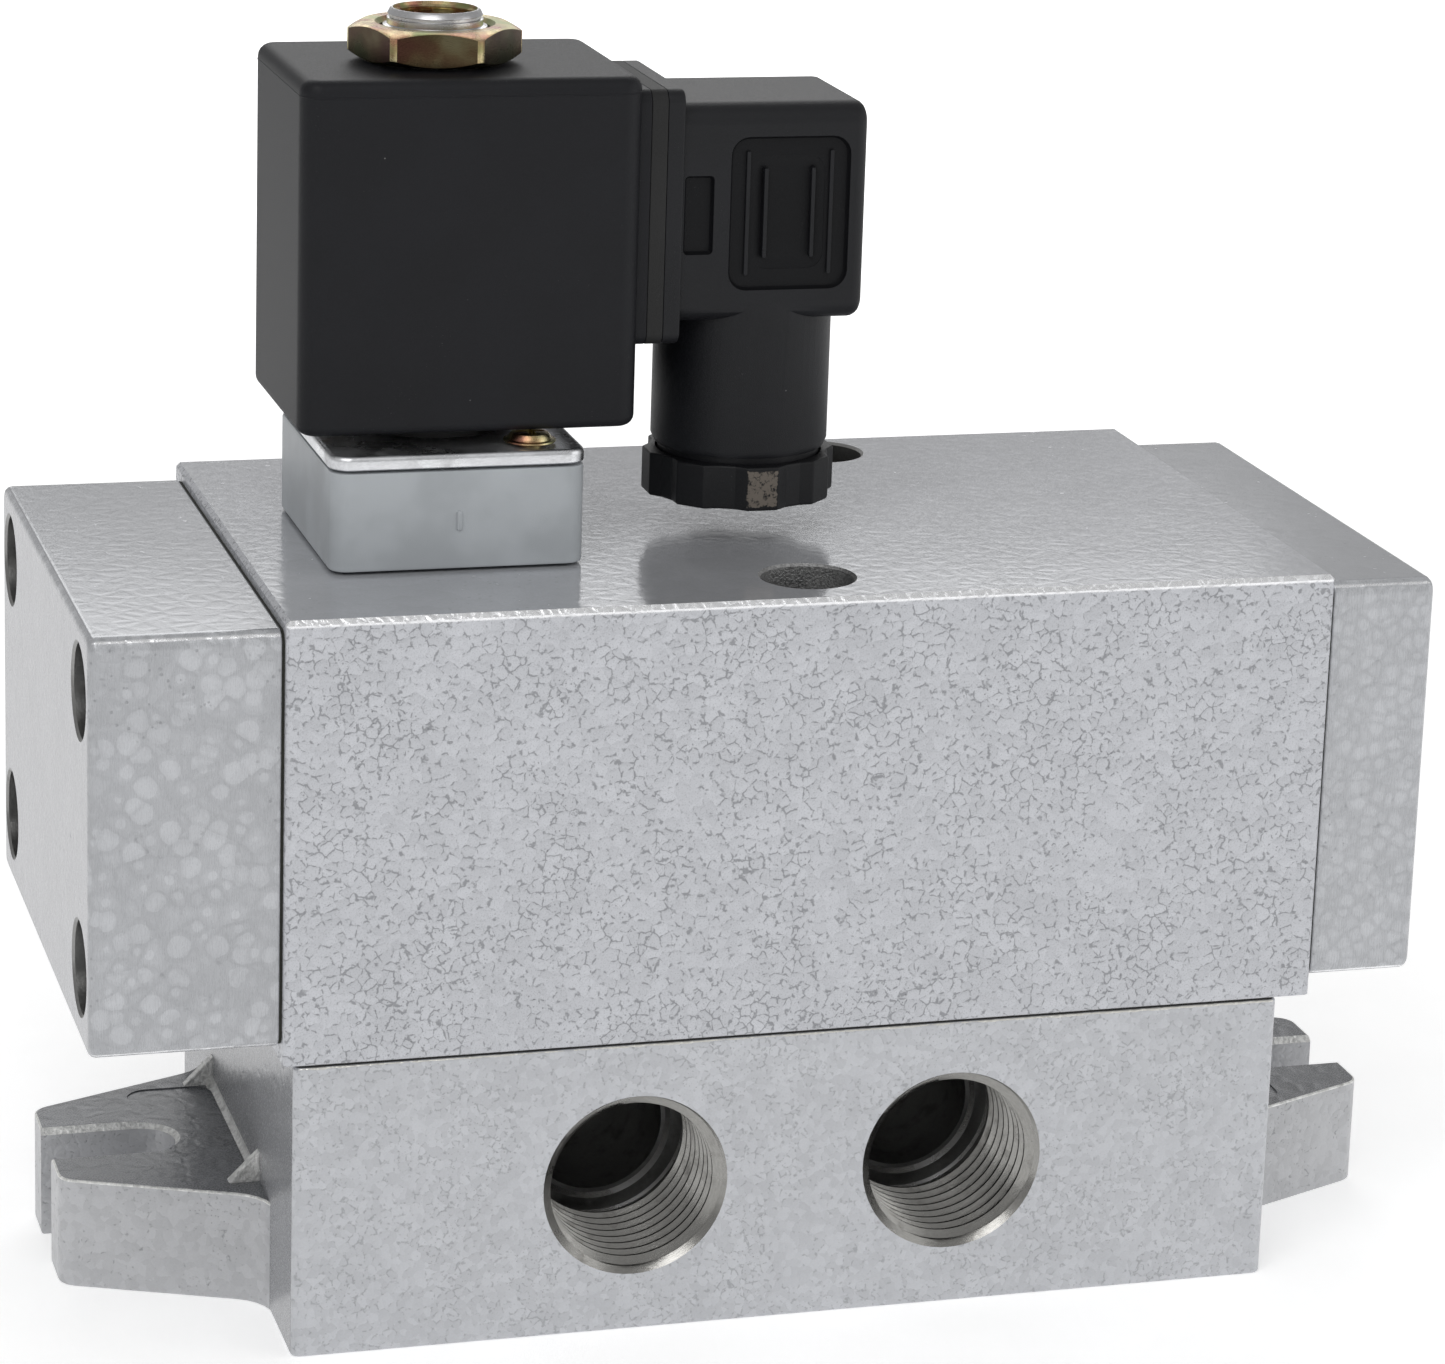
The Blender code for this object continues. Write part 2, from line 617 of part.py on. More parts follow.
def make_coil():
    """Makes the overmoulded coil with its bobbin, winding, yoke and blades, which all swivel together."""
    axis = (TUBE_X, TUBE_Y)
    low, high = COIL_LOW, COIL_HIGH
    rounds = ((2.2, 3, on_face("Z", high[2])), (1.2, 2, along("Z")))
    housing = block("coil_housing", low, high, "black_moulding", rounds)
    boss_low = (high[0] - 3.0, PLUG_Y - FLANGE_HALF[0], PLUG_Z - 0.2 - FLANGE_HALF[1])
    boss_high = (BOSS_END, PLUG_Y + FLANGE_HALF[0], PLUG_Z - 0.2 + FLANGE_HALF[1])
    join(housing, block("cut_coil_boss", boss_low, boss_high, None, ((1.5, 2, along("X")),)))
    cavity_low = (-51.7, TUBE_Y - 11.5, low[2] - 1.0)
    cut(housing, block("cut_coil_cavity", cavity_low, (-20.5, TUBE_Y + 11.5, 136.4)))
    cut(housing, drill("cut_coil_bore", "Z", axis, 130.0, high[2] + 1.0, TUBE_R + 0.4))
    cut(housing, drill("cut_coil_thread", "X", (PLUG_Y, PLUG_Z), -18.5, BOSS_END + 1.0, 1.8, 14))
    yoke = block("coil_yoke", (-51.2, TUBE_Y - 9.5, 100.2), (-22.0, TUBE_Y + 9.5, 135.8), "steel")
    cut(yoke, block("cut_yoke_window", (-49.7, TUBE_Y - 12.0, 101.7), (-20.0, TUBE_Y + 12.0, 134.3)))
    cut(yoke, drill("cut_yoke_bore", "Z", axis, 99.0, 137.0, TUBE_R + 0.5))
    bobbin_low, bobbin_high = 102.1, 133.9
    bobbin = [
        (bobbin_low, 6.2),
        (bobbin_low, 11.0),
        (bobbin_low + 1.2, 11.0),
        (bobbin_low + 1.2, 7.0),
        (bobbin_high - 1.2, 7.0),
        (bobbin_high - 1.2, 11.0),
        (bobbin_high, 11.0),
        (bobbin_high, 6.2),
    ]
    pieces = [housing, yoke, turned("coil_bobbin", "Z", axis, bobbin, "white_nylon", INNER_SIDES, closed=True)]
    pieces.append(ring("coil_winding", "Z", axis, bobbin_low + 1.5, bobbin_high - 1.5, 7.3, 10.7, "copper"))
    blades = {
        "terminal_blade_1": ((PLUG_Y, PLUG_Z + BLADE_OFFSET), (3.15, 0.4)),
        "terminal_blade_2": ((PLUG_Y, PLUG_Z - BLADE_OFFSET), (3.15, 0.4)),
        "earth_blade": ((PLUG_Y + EARTH_OFFSET, PLUG_Z), (0.4, 3.15)),
    }
    insert = make_terminal_insert()
    for name, ((y, z), (half_y, half_z)) in blades.items():
        blade_low, blade_high = (-20.2, y - half_y, z - half_z), (-4.0, y + half_y, z + half_z)
        pieces.append(block(name, blade_low, blade_high, "brass"))
        slit_low = (-21.5, y - half_y - GAP, z - half_z - GAP)
        slit = block(f"cut_{name}", slit_low, (-3.4, y + half_y + GAP, z + half_z + GAP))
        cut(housing, slit)
        cut(insert, slit)
    return pieces + [insert]


def make_terminal_insert():
    """Makes the terminal block inside the connector."""
    low = (-11.5, PLUG_Y - 7.8, PLUG_Z - 9.5)
    high = (2.0, PLUG_Y + 7.8, PLUG_Z + 9.5)
    insert = block("terminal_insert", low, high, "grey_moulding", rounds=((1.0, 1, along("X")),))
    cut(insert, drill("cut_insert_bore", "X", (PLUG_Y, PLUG_Z), -13.0, 4.0, 1.9, 14))
    return insert


def make_connector():
    """Makes the right-angle connector: gasket, housing, screw, gland nut, seal and washer."""
    flange_z = PLUG_Z - 0.2
    low_y, high_y = PLUG_Y - FLANGE_HALF[0], PLUG_Y + FLANGE_HALF[0]
    low_z, high_z = flange_z - FLANGE_HALF[1], flange_z + FLANGE_HALF[1]
    corners = ((1.5, 2, along("X")),)
    gasket_low = (BOSS_END + GAP, low_y, low_z)
    gasket = block("connector_gasket", gasket_low, (FLANGE_START - GAP, high_y, high_z), "black_rubber", corners)
    window_low, window_high = (-16.0, PLUG_Y - 8.2, PLUG_Z - 10.0), (-10.0, PLUG_Y + 8.2, PLUG_Z + 10.0)
    cut(gasket, block("cut_gasket_plug_window", window_low, window_high))

    body_low = (FLANGE_END - 1.0, PLUG_Y - PLUG_HALF[0], PLUG_Z - PLUG_HALF[1])
    body_high = (PLUG_END, PLUG_Y + PLUG_HALF[0], PLUG_Z + PLUG_HALF[1])
    on_end = on_face("X", PLUG_END)
    soft = ((2.4, 3, along("X")), (1.4, 2, on_end))
    housing = block("connector_housing", body_low, body_high, "black_moulding", soft)
    flange_low = (FLANGE_START, low_y, low_z)
    join(housing, block("cut_plug_flange", flange_low, (FLANGE_END, high_y, high_z), None, corners))
    centre = (GLAND_X, PLUG_Y)
    neck = [(91.1, 9.3), (GLAND_BOTTOM, 9.3), (GLAND_BOTTOM, 9.8), (GLAND_BOTTOM + 0.8, GLAND_R), (113.0, GLAND_R)]
    join(housing, turned("cut_plug_neck", "Z", centre, neck))
    hollow_low = (FLANGE_START - 1.0, PLUG_Y - 8.3, PLUG_Z - 10.6)
    cut(housing, block("cut_plug_hollow", hollow_low, (7.5, PLUG_Y + 8.3, PLUG_Z + 10.6)))
    cut(housing, drill("cut_plug_bore", "Z", centre, 90.0, 118.0, 7.6))
    sink = [(PLUG_END + 1.0, 3.2), (8.3, 3.2), (8.3, 1.8), (5.0, 1.8)]
    cut(housing, turned("cut_plug_sink", "X", (PLUG_Y, PLUG_Z), sink, sides=12))
    for label, side in (("front", -1), ("back", 1)):
        face = PLUG_Y + side * PLUG_HALF[0]
        near, far = sorted((face - side * 0.6, face + side * 2.0))
        window = block(f"cut_window_{label}", (-9.9, near, 118.6), (-6.7, far, 127.3))
        panel = block(f"cut_panel_{label}", (-4.6, near, 114.4), (9.1, far, 131.6), None, ((2.0, 2, along("Y")),))
        cut(housing, window, panel)

    shaft = [(8.3 + GAP, 1.45), (-18.0, 1.45)]
    head = [(11.0, 2.2), (10.6, 2.8), (8.3 + GAP, 2.8)]
    screw = turned("connector_screw", "X", (PLUG_Y, PLUG_Z), head + shaft, "zinc_steel", sides=12)

    ribs = []
    for k in range(8):
        middle = 2 * math.pi * k / 8
        for offset, radius in ((-0.30, 10.3), (-0.16, 11.1), (0.16, 11.1), (0.30, 10.3)):
            angle = middle + offset
            ribs.append((GLAND_X + radius * math.cos(angle), PLUG_Y + radius * math.sin(angle)))
    nut = prism("gland_nut", "Z", ribs, GLAND_NUT_BOTTOM, GLAND_NUT_TOP, "black_moulding")
    floor = GLAND_NUT_BOTTOM + 1.4
    bore = [(GLAND_NUT_TOP + 1.0, 9.6), (floor, 9.6), (floor, 5.6), (GLAND_NUT_BOTTOM - 1.0, 5.6)]
    cut(nut, turned("cut_gland_bore", "Z", centre, bore))
    washer = ring("gland_washer", "Z", centre, floor + GAP, floor + GAP + 0.4, 5.2, 8.9, "zinc_steel")
    seal = ring("gland_seal", "Z", centre, 91.3, 97.5, 4.5, 7.2, "black_rubber")
    return [gasket, housing, screw, nut, washer, seal]


def make_coil_fixing():
    """Makes the washer under the coil and the nut over it."""
    axis = (TUBE_X, TUBE_Y)
    ring("coil_washer", "Z", axis, PLATE_TOP + GAP, COIL_LOW[2] - GAP, TUBE_R + 0.4, 9.5, "black_rubber")
    bottom = COIL_HIGH[2] + GAP
    nut = [
        (bottom, TUBE_R + 0.4),
        (bottom, 8.4),
        (bottom + 0.7, NUT_ACROSS_FLATS, "hex"),
        (NUT_TOP - 0.7, NUT_ACROSS_FLATS, "hex"),
        (NUT_TOP, 8.4),
        (NUT_TOP, TUBE_R + 0.4),
    ]
    turned("coil_nut", "Z", axis, nut, "yellow_zinc", closed=True)


def hang(name, place, pieces):
    """Parents the pieces of a moving body to an empty on its joint's axis."""
    pivot = bpy.data.objects.new(name, None)
    pivot.location = Vector(place) * MM
    bpy.context.scene.collection.objects.link(pivot)
    bpy.context.view_layer.update()
    for piece in pieces:
        piece.parent = pivot
        piece.matrix_parent_inverse = pivot.matrix_world.inverted()


def main():
    """Builds the whole valve."""
    clear_scene()
    make_base_plate()
    make_base_gasket()
    make_valve_body()
    make_end_caps()
    make_body_bolts()
    hang("spool_axis", (0.0, SPOOL_Y, SPOOL_Z), make_spool())
    hang("piston_axis", (CHAMBER_FLOOR, SPOOL_Y, SPOOL_Z), make_piston())
    make_pilot_valve()
    hang("plunger_axis", (TUBE_X, TUBE_Y, PLUNGER_BOTTOM), make_armature())
    hang("coil_axis", (TUBE_X, TUBE_Y, COIL_LOW[2]), make_coil() + make_connector())
    make_coil_fixing()


main()
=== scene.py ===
"""Looks of a solenoid directional valve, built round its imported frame.

Sizes are in millimetres, and each mesh is scaled to metres as it becomes a piece. As in the frame, +X runs along the
spool towards the spring cap, +Y to the back and +Z up. Most places are read from the frame's own boxes.
"""

import logging
import math
from dataclasses import dataclass, field
from enum import Enum
from typing import Callable, Optional, Sequence, Union

import bmesh
import bpy
from mathutils import Matrix, Vector


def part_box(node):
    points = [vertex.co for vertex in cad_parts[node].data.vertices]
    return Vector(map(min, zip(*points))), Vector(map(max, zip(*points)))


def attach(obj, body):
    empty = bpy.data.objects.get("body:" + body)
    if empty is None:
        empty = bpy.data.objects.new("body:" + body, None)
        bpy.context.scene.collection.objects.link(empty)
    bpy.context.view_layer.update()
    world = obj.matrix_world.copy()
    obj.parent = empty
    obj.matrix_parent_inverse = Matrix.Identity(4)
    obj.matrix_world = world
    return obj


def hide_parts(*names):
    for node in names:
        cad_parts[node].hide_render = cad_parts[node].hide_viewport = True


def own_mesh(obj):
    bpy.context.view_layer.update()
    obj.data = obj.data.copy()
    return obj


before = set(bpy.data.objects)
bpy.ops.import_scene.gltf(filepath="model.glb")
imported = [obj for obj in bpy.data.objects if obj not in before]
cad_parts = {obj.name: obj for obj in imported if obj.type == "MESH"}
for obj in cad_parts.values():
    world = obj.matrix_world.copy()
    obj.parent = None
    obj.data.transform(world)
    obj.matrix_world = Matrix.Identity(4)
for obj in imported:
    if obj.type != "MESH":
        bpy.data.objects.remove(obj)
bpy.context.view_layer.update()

MM = 0.001
GAP = 0.3  # clearance between neighbouring pieces, as in the frame
SIDES = 64  # facets round a large turned shape
SMALL_SIDES = 48  # facets round a screw; a multiple of six, so that hexagon corners fall on points
ARC_STEP = math.radians(15)  # turn between two points of a rounded corner
SHARP_ANGLE = math.radians(32)  # edges that turn more than this stay crisp

Pair = tuple[float, float]
Triple = tuple[float, float, float]
Outline = list[Vector]
Socket = bpy.types.NodeSocket
Value = Union[float, Triple, Socket]


class Axis(Enum):
    """The axis a shape runs along: its two crosswise axes, then the axis itself."""

    X = (1, 2, 0)
    Y = (2, 0, 1)
    Z = (0, 1, 2)

    def point(self, across: float, up: float, along: float) -> Vector:
        """Gives the point with these two crosswise parts and this place along the axis."""
        place = Vector((0.0, 0.0, 0.0))
        for index, part in zip(self.value, (across, up, along)):
            place[index] = part
        return place


class Form(Enum):
    """The shape of one ring of a turned profile."""

    ROUND = "round"
    HEXAGON = "hexagon"


class Body(Enum):
    """The frame's rigid bodies."""

    ROOT = "root"
    COIL = "coil"


class Slot(Enum):
    """Names of material slots for the new pieces."""

    PAINT = "hammered_paint"
    GREEN_RUBBER = "green_rubber"
    DARK_STEEL = "dark_steel"
    YELLOW_ZINC = "yellow_zinc"
    ALUMINIUM = "aluminium"
    BLACK_RUBBER = "black_rubber"
    STEEL = "steel"
    GREY_MOULDING = "grey_moulding"
    ZINC_STEEL = "zinc_steel"
    BLACK_MOULDING = "black_moulding"


class Side(Enum):
    """An end of the valve, as the sign of its direction along X."""

    LEFT = -1
    RIGHT = 1


# Mesh work


def span(node: str) -> tuple[Vector, Vector]:
    """Gives a frame node's box.

    Args:
        node: the node's name.

    Returns:
        Its lowest and highest corners, in millimetres.
    """
    low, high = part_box(node)
    return low / MM, high / MM


def arc(centre: Pair, radius: float, first: float, last: float, steps: int) -> Outline:
    """Draws part of a circle.

    Args:
        centre: the circle's centre.
        radius: its radius.
        first: the angle it starts at, in degrees.
        last: the angle it ends at, in degrees.
        steps: how many straight pieces it has.

    Returns:
        The points, both ends included.
    """
    angles = [math.radians(first + (last - first) * k / steps) for k in range(steps + 1)]
    return [Vector((centre[0] + radius * math.cos(a), centre[1] + radius * math.sin(a))) for a in angles]


def rounded(corners: Sequence[Triple]) -> Outline:
    """Draws a closed outline with rounded corners, hollow ones included.

    Args:
        corners: (across, up, radius) of each corner, in order.

    Returns:
        The outline's points.
    """
    points: Outline = []
    for index, (across, up, radius) in enumerate(corners):
        corner = Vector((across, up))
        if radius <= 0.0:
            points.append(corner)
            continue
        back = (Vector(corners[index - 1][:2]) - corner).normalized()
        ahead = (Vector(corners[(index + 1) % len(corners)][:2]) - corner).normalized()
        half = back.angle(ahead) / 2
        centre = corner + (back + ahead).normalized() * (radius / math.sin(half))
        start = corner + back * (radius / math.tan(half)) - centre
        end = corner + ahead * (radius / math.tan(half)) - centre
        turn = math.atan2(start.x * end.y - start.y * end.x, start.dot(end))
        steps = max(2, math.ceil(abs(turn) / ARC_STEP))
        for k in range(steps + 1):
            points.append(centre + Matrix.Rotation(turn * k / steps, 2) @ start)
    return points


def rectangle(low: Pair, high: Pair, radius: float) -> Outline:
    """Draws a rectangle with four equal rounded corners.

    Args:
        low: its lowest crosswise corner.
        high: its highest crosswise corner.
        radius: the corner radius.

    Returns:
        The outline's points.
    """
    corners = ((low[0], low[1]), (high[0], low[1]), (high[0], high[1]), (low[0], high[1]))
    return rounded([(across, up, radius) for across, up in corners])


def shrunk(outline: Outline, inset: float) -> Outline:
    """Moves an outline inwards by the same distance all round, or outwards where the distance is negative.

    Args:
        outline: the outline's points.
        inset: the distance.

    Returns:
        As many points, in the same order.
    """
    count = len(outline)
    area = sum(a.x * b.y - a.y * b.x for a, b in zip(outline, outline[1:] + outline[:1]))
    sense = 1.0 if area > 0 else -1.0
    moved = []
    for k, point in enumerate(outline):
        into = (point - outline[k - 1]).normalized()
        out = (outline[(k + 1) % count] - point).normalized()
        first, second = Vector((-into.y, into.x)), Vector((-out.y, out.x))
        middle = (first + second).normalized()
        moved.append(point + middle * (sense * inset / max(0.3, middle.dot(first))))
    return moved


def rims(start: float, end: float, first: float = 0.0, last: float = 0.0, steps: int = 4) -> list[Pair]:
    """Lists the layers of a lofted shape whose two rims are rounded.

    Args:
        start: where the shape starts along its axis.
        end: where it ends.
        first: the radius of the rim at the start.
        last: the radius of the rim at the end.
        steps: straight pieces in each rim; one gives a chamfer.

    Returns:
        (place, inset) of each layer.
    """
    sign = 1.0 if end > start else -1.0
    turns = [math.pi / 2 * k / steps for k in range(steps + 1)]
    layers = [(start, 0.0)]
    if first:
        layers = [(start + sign * first * (1 - math.cos(a)), first * (1 - math.sin(a))) for a in turns]
    if last:
        return layers + [(end - sign * last * (1 - math.sin(a)), last * (1 - math.cos(a))) for a in turns]
    return layers + [(end, 0.0)]


def skin(mesh: bmesh.types.BMesh, rings: Sequence[Sequence[bmesh.types.BMVert]], closed: bool) -> None:
    """Fills the faces between rings of points, and the two ends unless the rings close on themselves."""
    pairs = list(zip(rings, rings[1:]))
    if closed:
        pairs.append((rings[-1], rings[0]))
    else:
        mesh.faces.new(rings[0])
        mesh.faces.new(rings[-1])
    for near, far in pairs:
        for k in range(len(near)):
            j = (k + 1) % len(near)
            mesh.faces.new((near[k], near[j], far[j], far[k]))


def loft(axis: Axis, outline: Outline, layers: Sequence[Pair]) -> bmesh.types.BMesh:
    """Draws a flat outline along an axis through layers of different inset.

    Args:
        axis: the axis it runs along.
        outline: the crosswise outline.
        layers: (place, inset) of each layer.

    Returns:
        The closed mesh, in millimetres.
    """
    mesh = bmesh.new()
    rings = [
        [mesh.verts.new(axis.point(*point, place)) for point in shrunk(outline, inset)]
        for place, inset in layers
    ]
    skin(mesh, rings, closed=False)
    return mesh


def turned(
    axis: Axis, centre: Pair, profile: Sequence[tuple], sides: int = SIDES, closed: bool = False
) -> bmesh.types.BMesh:
    """Turns a profile round an axis.

    Args:
        axis: the axis it is turned round.
        centre: the axis's crosswise place.
        profile: (place, radius), or (place, width across flats, Form.HEXAGON), of each ring.
        sides: facets all round.
        closed: whether the profile closes on itself, which makes a ring; if not, its ends are flat discs.

    Returns:
        The closed mesh, in millimetres.
    """
    mesh = bmesh.new()
    sixth = math.pi / 3
    rings = []
    for place, size, *form in profile:
        ring = []
        for k in range(sides):
            angle = 2 * math.pi * k / sides
            radius = size / 2 / math.cos(angle % sixth - sixth / 2) if Form.HEXAGON in form else size
            across, up = centre[0] + radius * math.cos(angle), centre[1] + radius * math.sin(angle)
            ring.append(mesh.verts.new(axis.point(across, up, place)))
        rings.append(ring)
    skin(mesh, rings, closed)
    return mesh


@dataclass
class ThreadedBore:
    """A thin sleeve with a round-crested screw thread inside it and a cone at its mouth."""

    axis: Axis
    centre: Pair
    mouth: float
    inward: float
    depth: float
    pitch: float
    crest_r: float
    root_r: float
    mouth_r: float
    outer_r: float
    sides: int = SIDES
    rows: int = 6  # points across one pitch

    def radius(self, angle: float, depth: float) -> float:
        """Gives the radius of the threaded face.

        Args:
            angle: the angle round the axis.
            depth: the depth below the mouth.

        Returns:
            The radius there.
        """
        phase = 2 * math.pi * (depth / self.pitch) - angle
        middle, swing = (self.crest_r + self.root_r) / 2, (self.root_r - self.crest_r) / 2
        ridge = middle + swing * max(-1.0, min(1.0, 1.35 * math.sin(phase)))
        return max(ridge, self.mouth_r - depth)

    def mesh(self) -> bmesh.types.BMesh:
        """Builds the sleeve, with rows of points that follow the thread."""
        mesh = bmesh.new()
        rows = int((self.depth / self.pitch + 1) * self.rows) + 1
        thread: dict[Pair, bmesh.types.BMVert] = {}
        for k in range(self.sides + 1):
            angle = 2 * math.pi * k / self.sides
            for row in range(rows + 1):
                depth = self.pitch * (angle / (2 * math.pi) + row / self.rows - 1.0)
                thread[k, row] = self.vertex(mesh, angle, min(self.depth, max(0.0, depth)))
        for k in range(self.sides):
            for row in range(rows):
                mesh.faces.new(
                    (thread[k, row], thread[k + 1, row], thread[k + 1, row + 1], thread[k, row + 1])
                )
        for k in range(self.sides):
            near, far = 2 * math.pi * k / self.sides, 2 * math.pi * (k + 1) / self.sides
            for depth in (0.0, self.depth):
                edge = [self.vertex(mesh, near, depth), self.vertex(mesh, far, depth)]
                edge += [
                    self.vertex(mesh, far, depth, self.outer_r), self.vertex(mesh, near, depth, self.outer_r)
                ]
                mesh.faces.new(edge)
            wall = [self.vertex(mesh, near, 0.0, self.outer_r), self.vertex(mesh, far, 0.0, self.outer_r)]
            wall += [
                self.vertex(mesh, far, self.depth, self.outer_r),
                self.vertex(mesh, near, self.depth, self.outer_r)
            ]
            mesh.faces.new(wall)
        bmesh.ops.remove_doubles(mesh, verts=mesh.verts, dist=1e-4)
        bmesh.ops.dissolve_degenerate(mesh, edges=mesh.edges, dist=1e-4)
        return mesh

    def vertex(
        self, mesh: bmesh.types.BMesh, angle: float, depth: float, radius: Optional[float] = None
    ) -> bmesh.types.BMVert:
        """Adds one point.

        Args:
            mesh: the mesh it goes into.
            angle: the angle round the axis.
            depth: the depth below the mouth.
            radius: the radius, or None for the threaded face's own.

        Returns:
            The new point.
        """
        radius = self.radius(angle, depth) if radius is None else radius
        across, up = self.centre[0] + radius * math.cos(angle), self.centre[1] + radius * math.sin(angle)
        return mesh.verts.new(self.axis.point(across, up, self.mouth + self.inward * depth))


def wound(
    axis: Axis, centre: Pair, start: float, end: float, radius: float, wire_r: float, turns: int,
    steps: int = 32
) -> bmesh.types.BMesh:
    """Winds a compression spring whose end turns lie close together.

    Args:
        axis: the spring's axis.
        centre: the axis's crosswise place.
        start: where the spring starts.
        end: where it ends.
        radius: the radius of the wire's centre line.
        wire_r: the wire's radius.
        turns: open turns, between one closed turn at each end.
        steps: points round one turn.

    Returns:
        The closed mesh, in millimetres.
    """
    mesh = bmesh.new()
    rise = (end - start - 6 * wire_r) / turns
    total = turns + 2
    rings = []
    for k in range(total * steps + 1):
        turn = k / steps
        along = start + wire_r + 2 * wire_r * min(turn, 1.0) + 2 * wire_r * max(0.0, turn - total + 1)
        along += rise * (min(max(turn, 1.0), total - 1.0) - 1.0)
        angle = 2 * math.pi * turn
        ring = []
        for j in range(10):
            lean = 2 * math.pi * j / 10
            reach = radius + wire_r * math.cos(lean)
            across, up = centre[0] + reach * math.cos(angle), centre[1] + reach * math.sin(angle)
            ring.append(mesh.verts.new(axis.point(across, up, along + wire_r * math.sin(lean))))
        rings.append(ring)
    skin(mesh, rings, closed=False)
    return mesh


def solid(name: str, mesh: bmesh.types.BMesh, finish: "Finish") -> bpy.types.Object:
    """Turns a mesh in millimetres into an object in metres.

    Args:
        name: the object's name.
        mesh: the mesh, which is used up.
        finish: the finish of all its faces.

    Returns:
        The object, which rides on nothing yet.
    """
    bmesh.ops.recalc_face_normals(mesh, faces=mesh.faces)
    bmesh.ops.scale(mesh, vec=(MM, MM, MM), verts=mesh.verts)
    data = bpy.data.meshes.new(name)
    mesh.to_mesh(data)
    mesh.free()
    data.materials.append(finish.material())
    thing = bpy.data.objects.new(name, data)
    bpy.context.scene.collection.objects.link(thing)
    return thing


def combine(
    thing: bpy.types.Object, tools: Sequence[bpy.types.Object], operation: str = "DIFFERENCE"
) -> None:
    """Cuts or joins a piece with tool solids, whose finish stays on the faces that they make.

    Args:
        thing: the piece.
        tools: the tools, which are used up.
        operation: DIFFERENCE, UNION or INTERSECT.
    """
    for tool in tools:
        modifier = thing.modifiers.new(tool.name, "BOOLEAN")
        modifier.operation = operation
        modifier.solver = "EXACT"
        modifier.material_mode = "TRANSFER"
        modifier.object = tool
    graph = bpy.context.evaluated_depsgraph_get()
    made = bpy.data.meshes.new_from_object(thing.evaluated_get(graph))
    if not made.polygons:
        raise ValueError(f"nothing is left of {thing.name}")
    thing.modifiers.clear()
    thing.data = made
    for tool in tools:
        bpy.data.objects.remove(tool, do_unlink=True)


def present(piece: bpy.types.Object, body: Body, slot: Slot, *nodes: str) -> bpy.types.Object:
    """Shades a finished piece, ties it to the frame and reports it.

    Args:
        piece: the piece.
        body: the frame body it rides on.
        slot: a material slot's name; not used.
        nodes: the frame nodes it stands for.

    Returns:
        The same piece.
    """
    piece.data.shade_smooth()
    piece.data.set_sharp_from_angle(angle=SHARP_ANGLE)
    weighted = piece.modifiers.new("even_flats", "WEIGHTED_NORMAL")
    weighted.keep_sharp = True
    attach(piece, body.value)
    if nodes:
        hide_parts(*nodes)
    logging.info("%s: %d faces", piece.name, len(piece.data.polygons))
    return piece


# Shader work


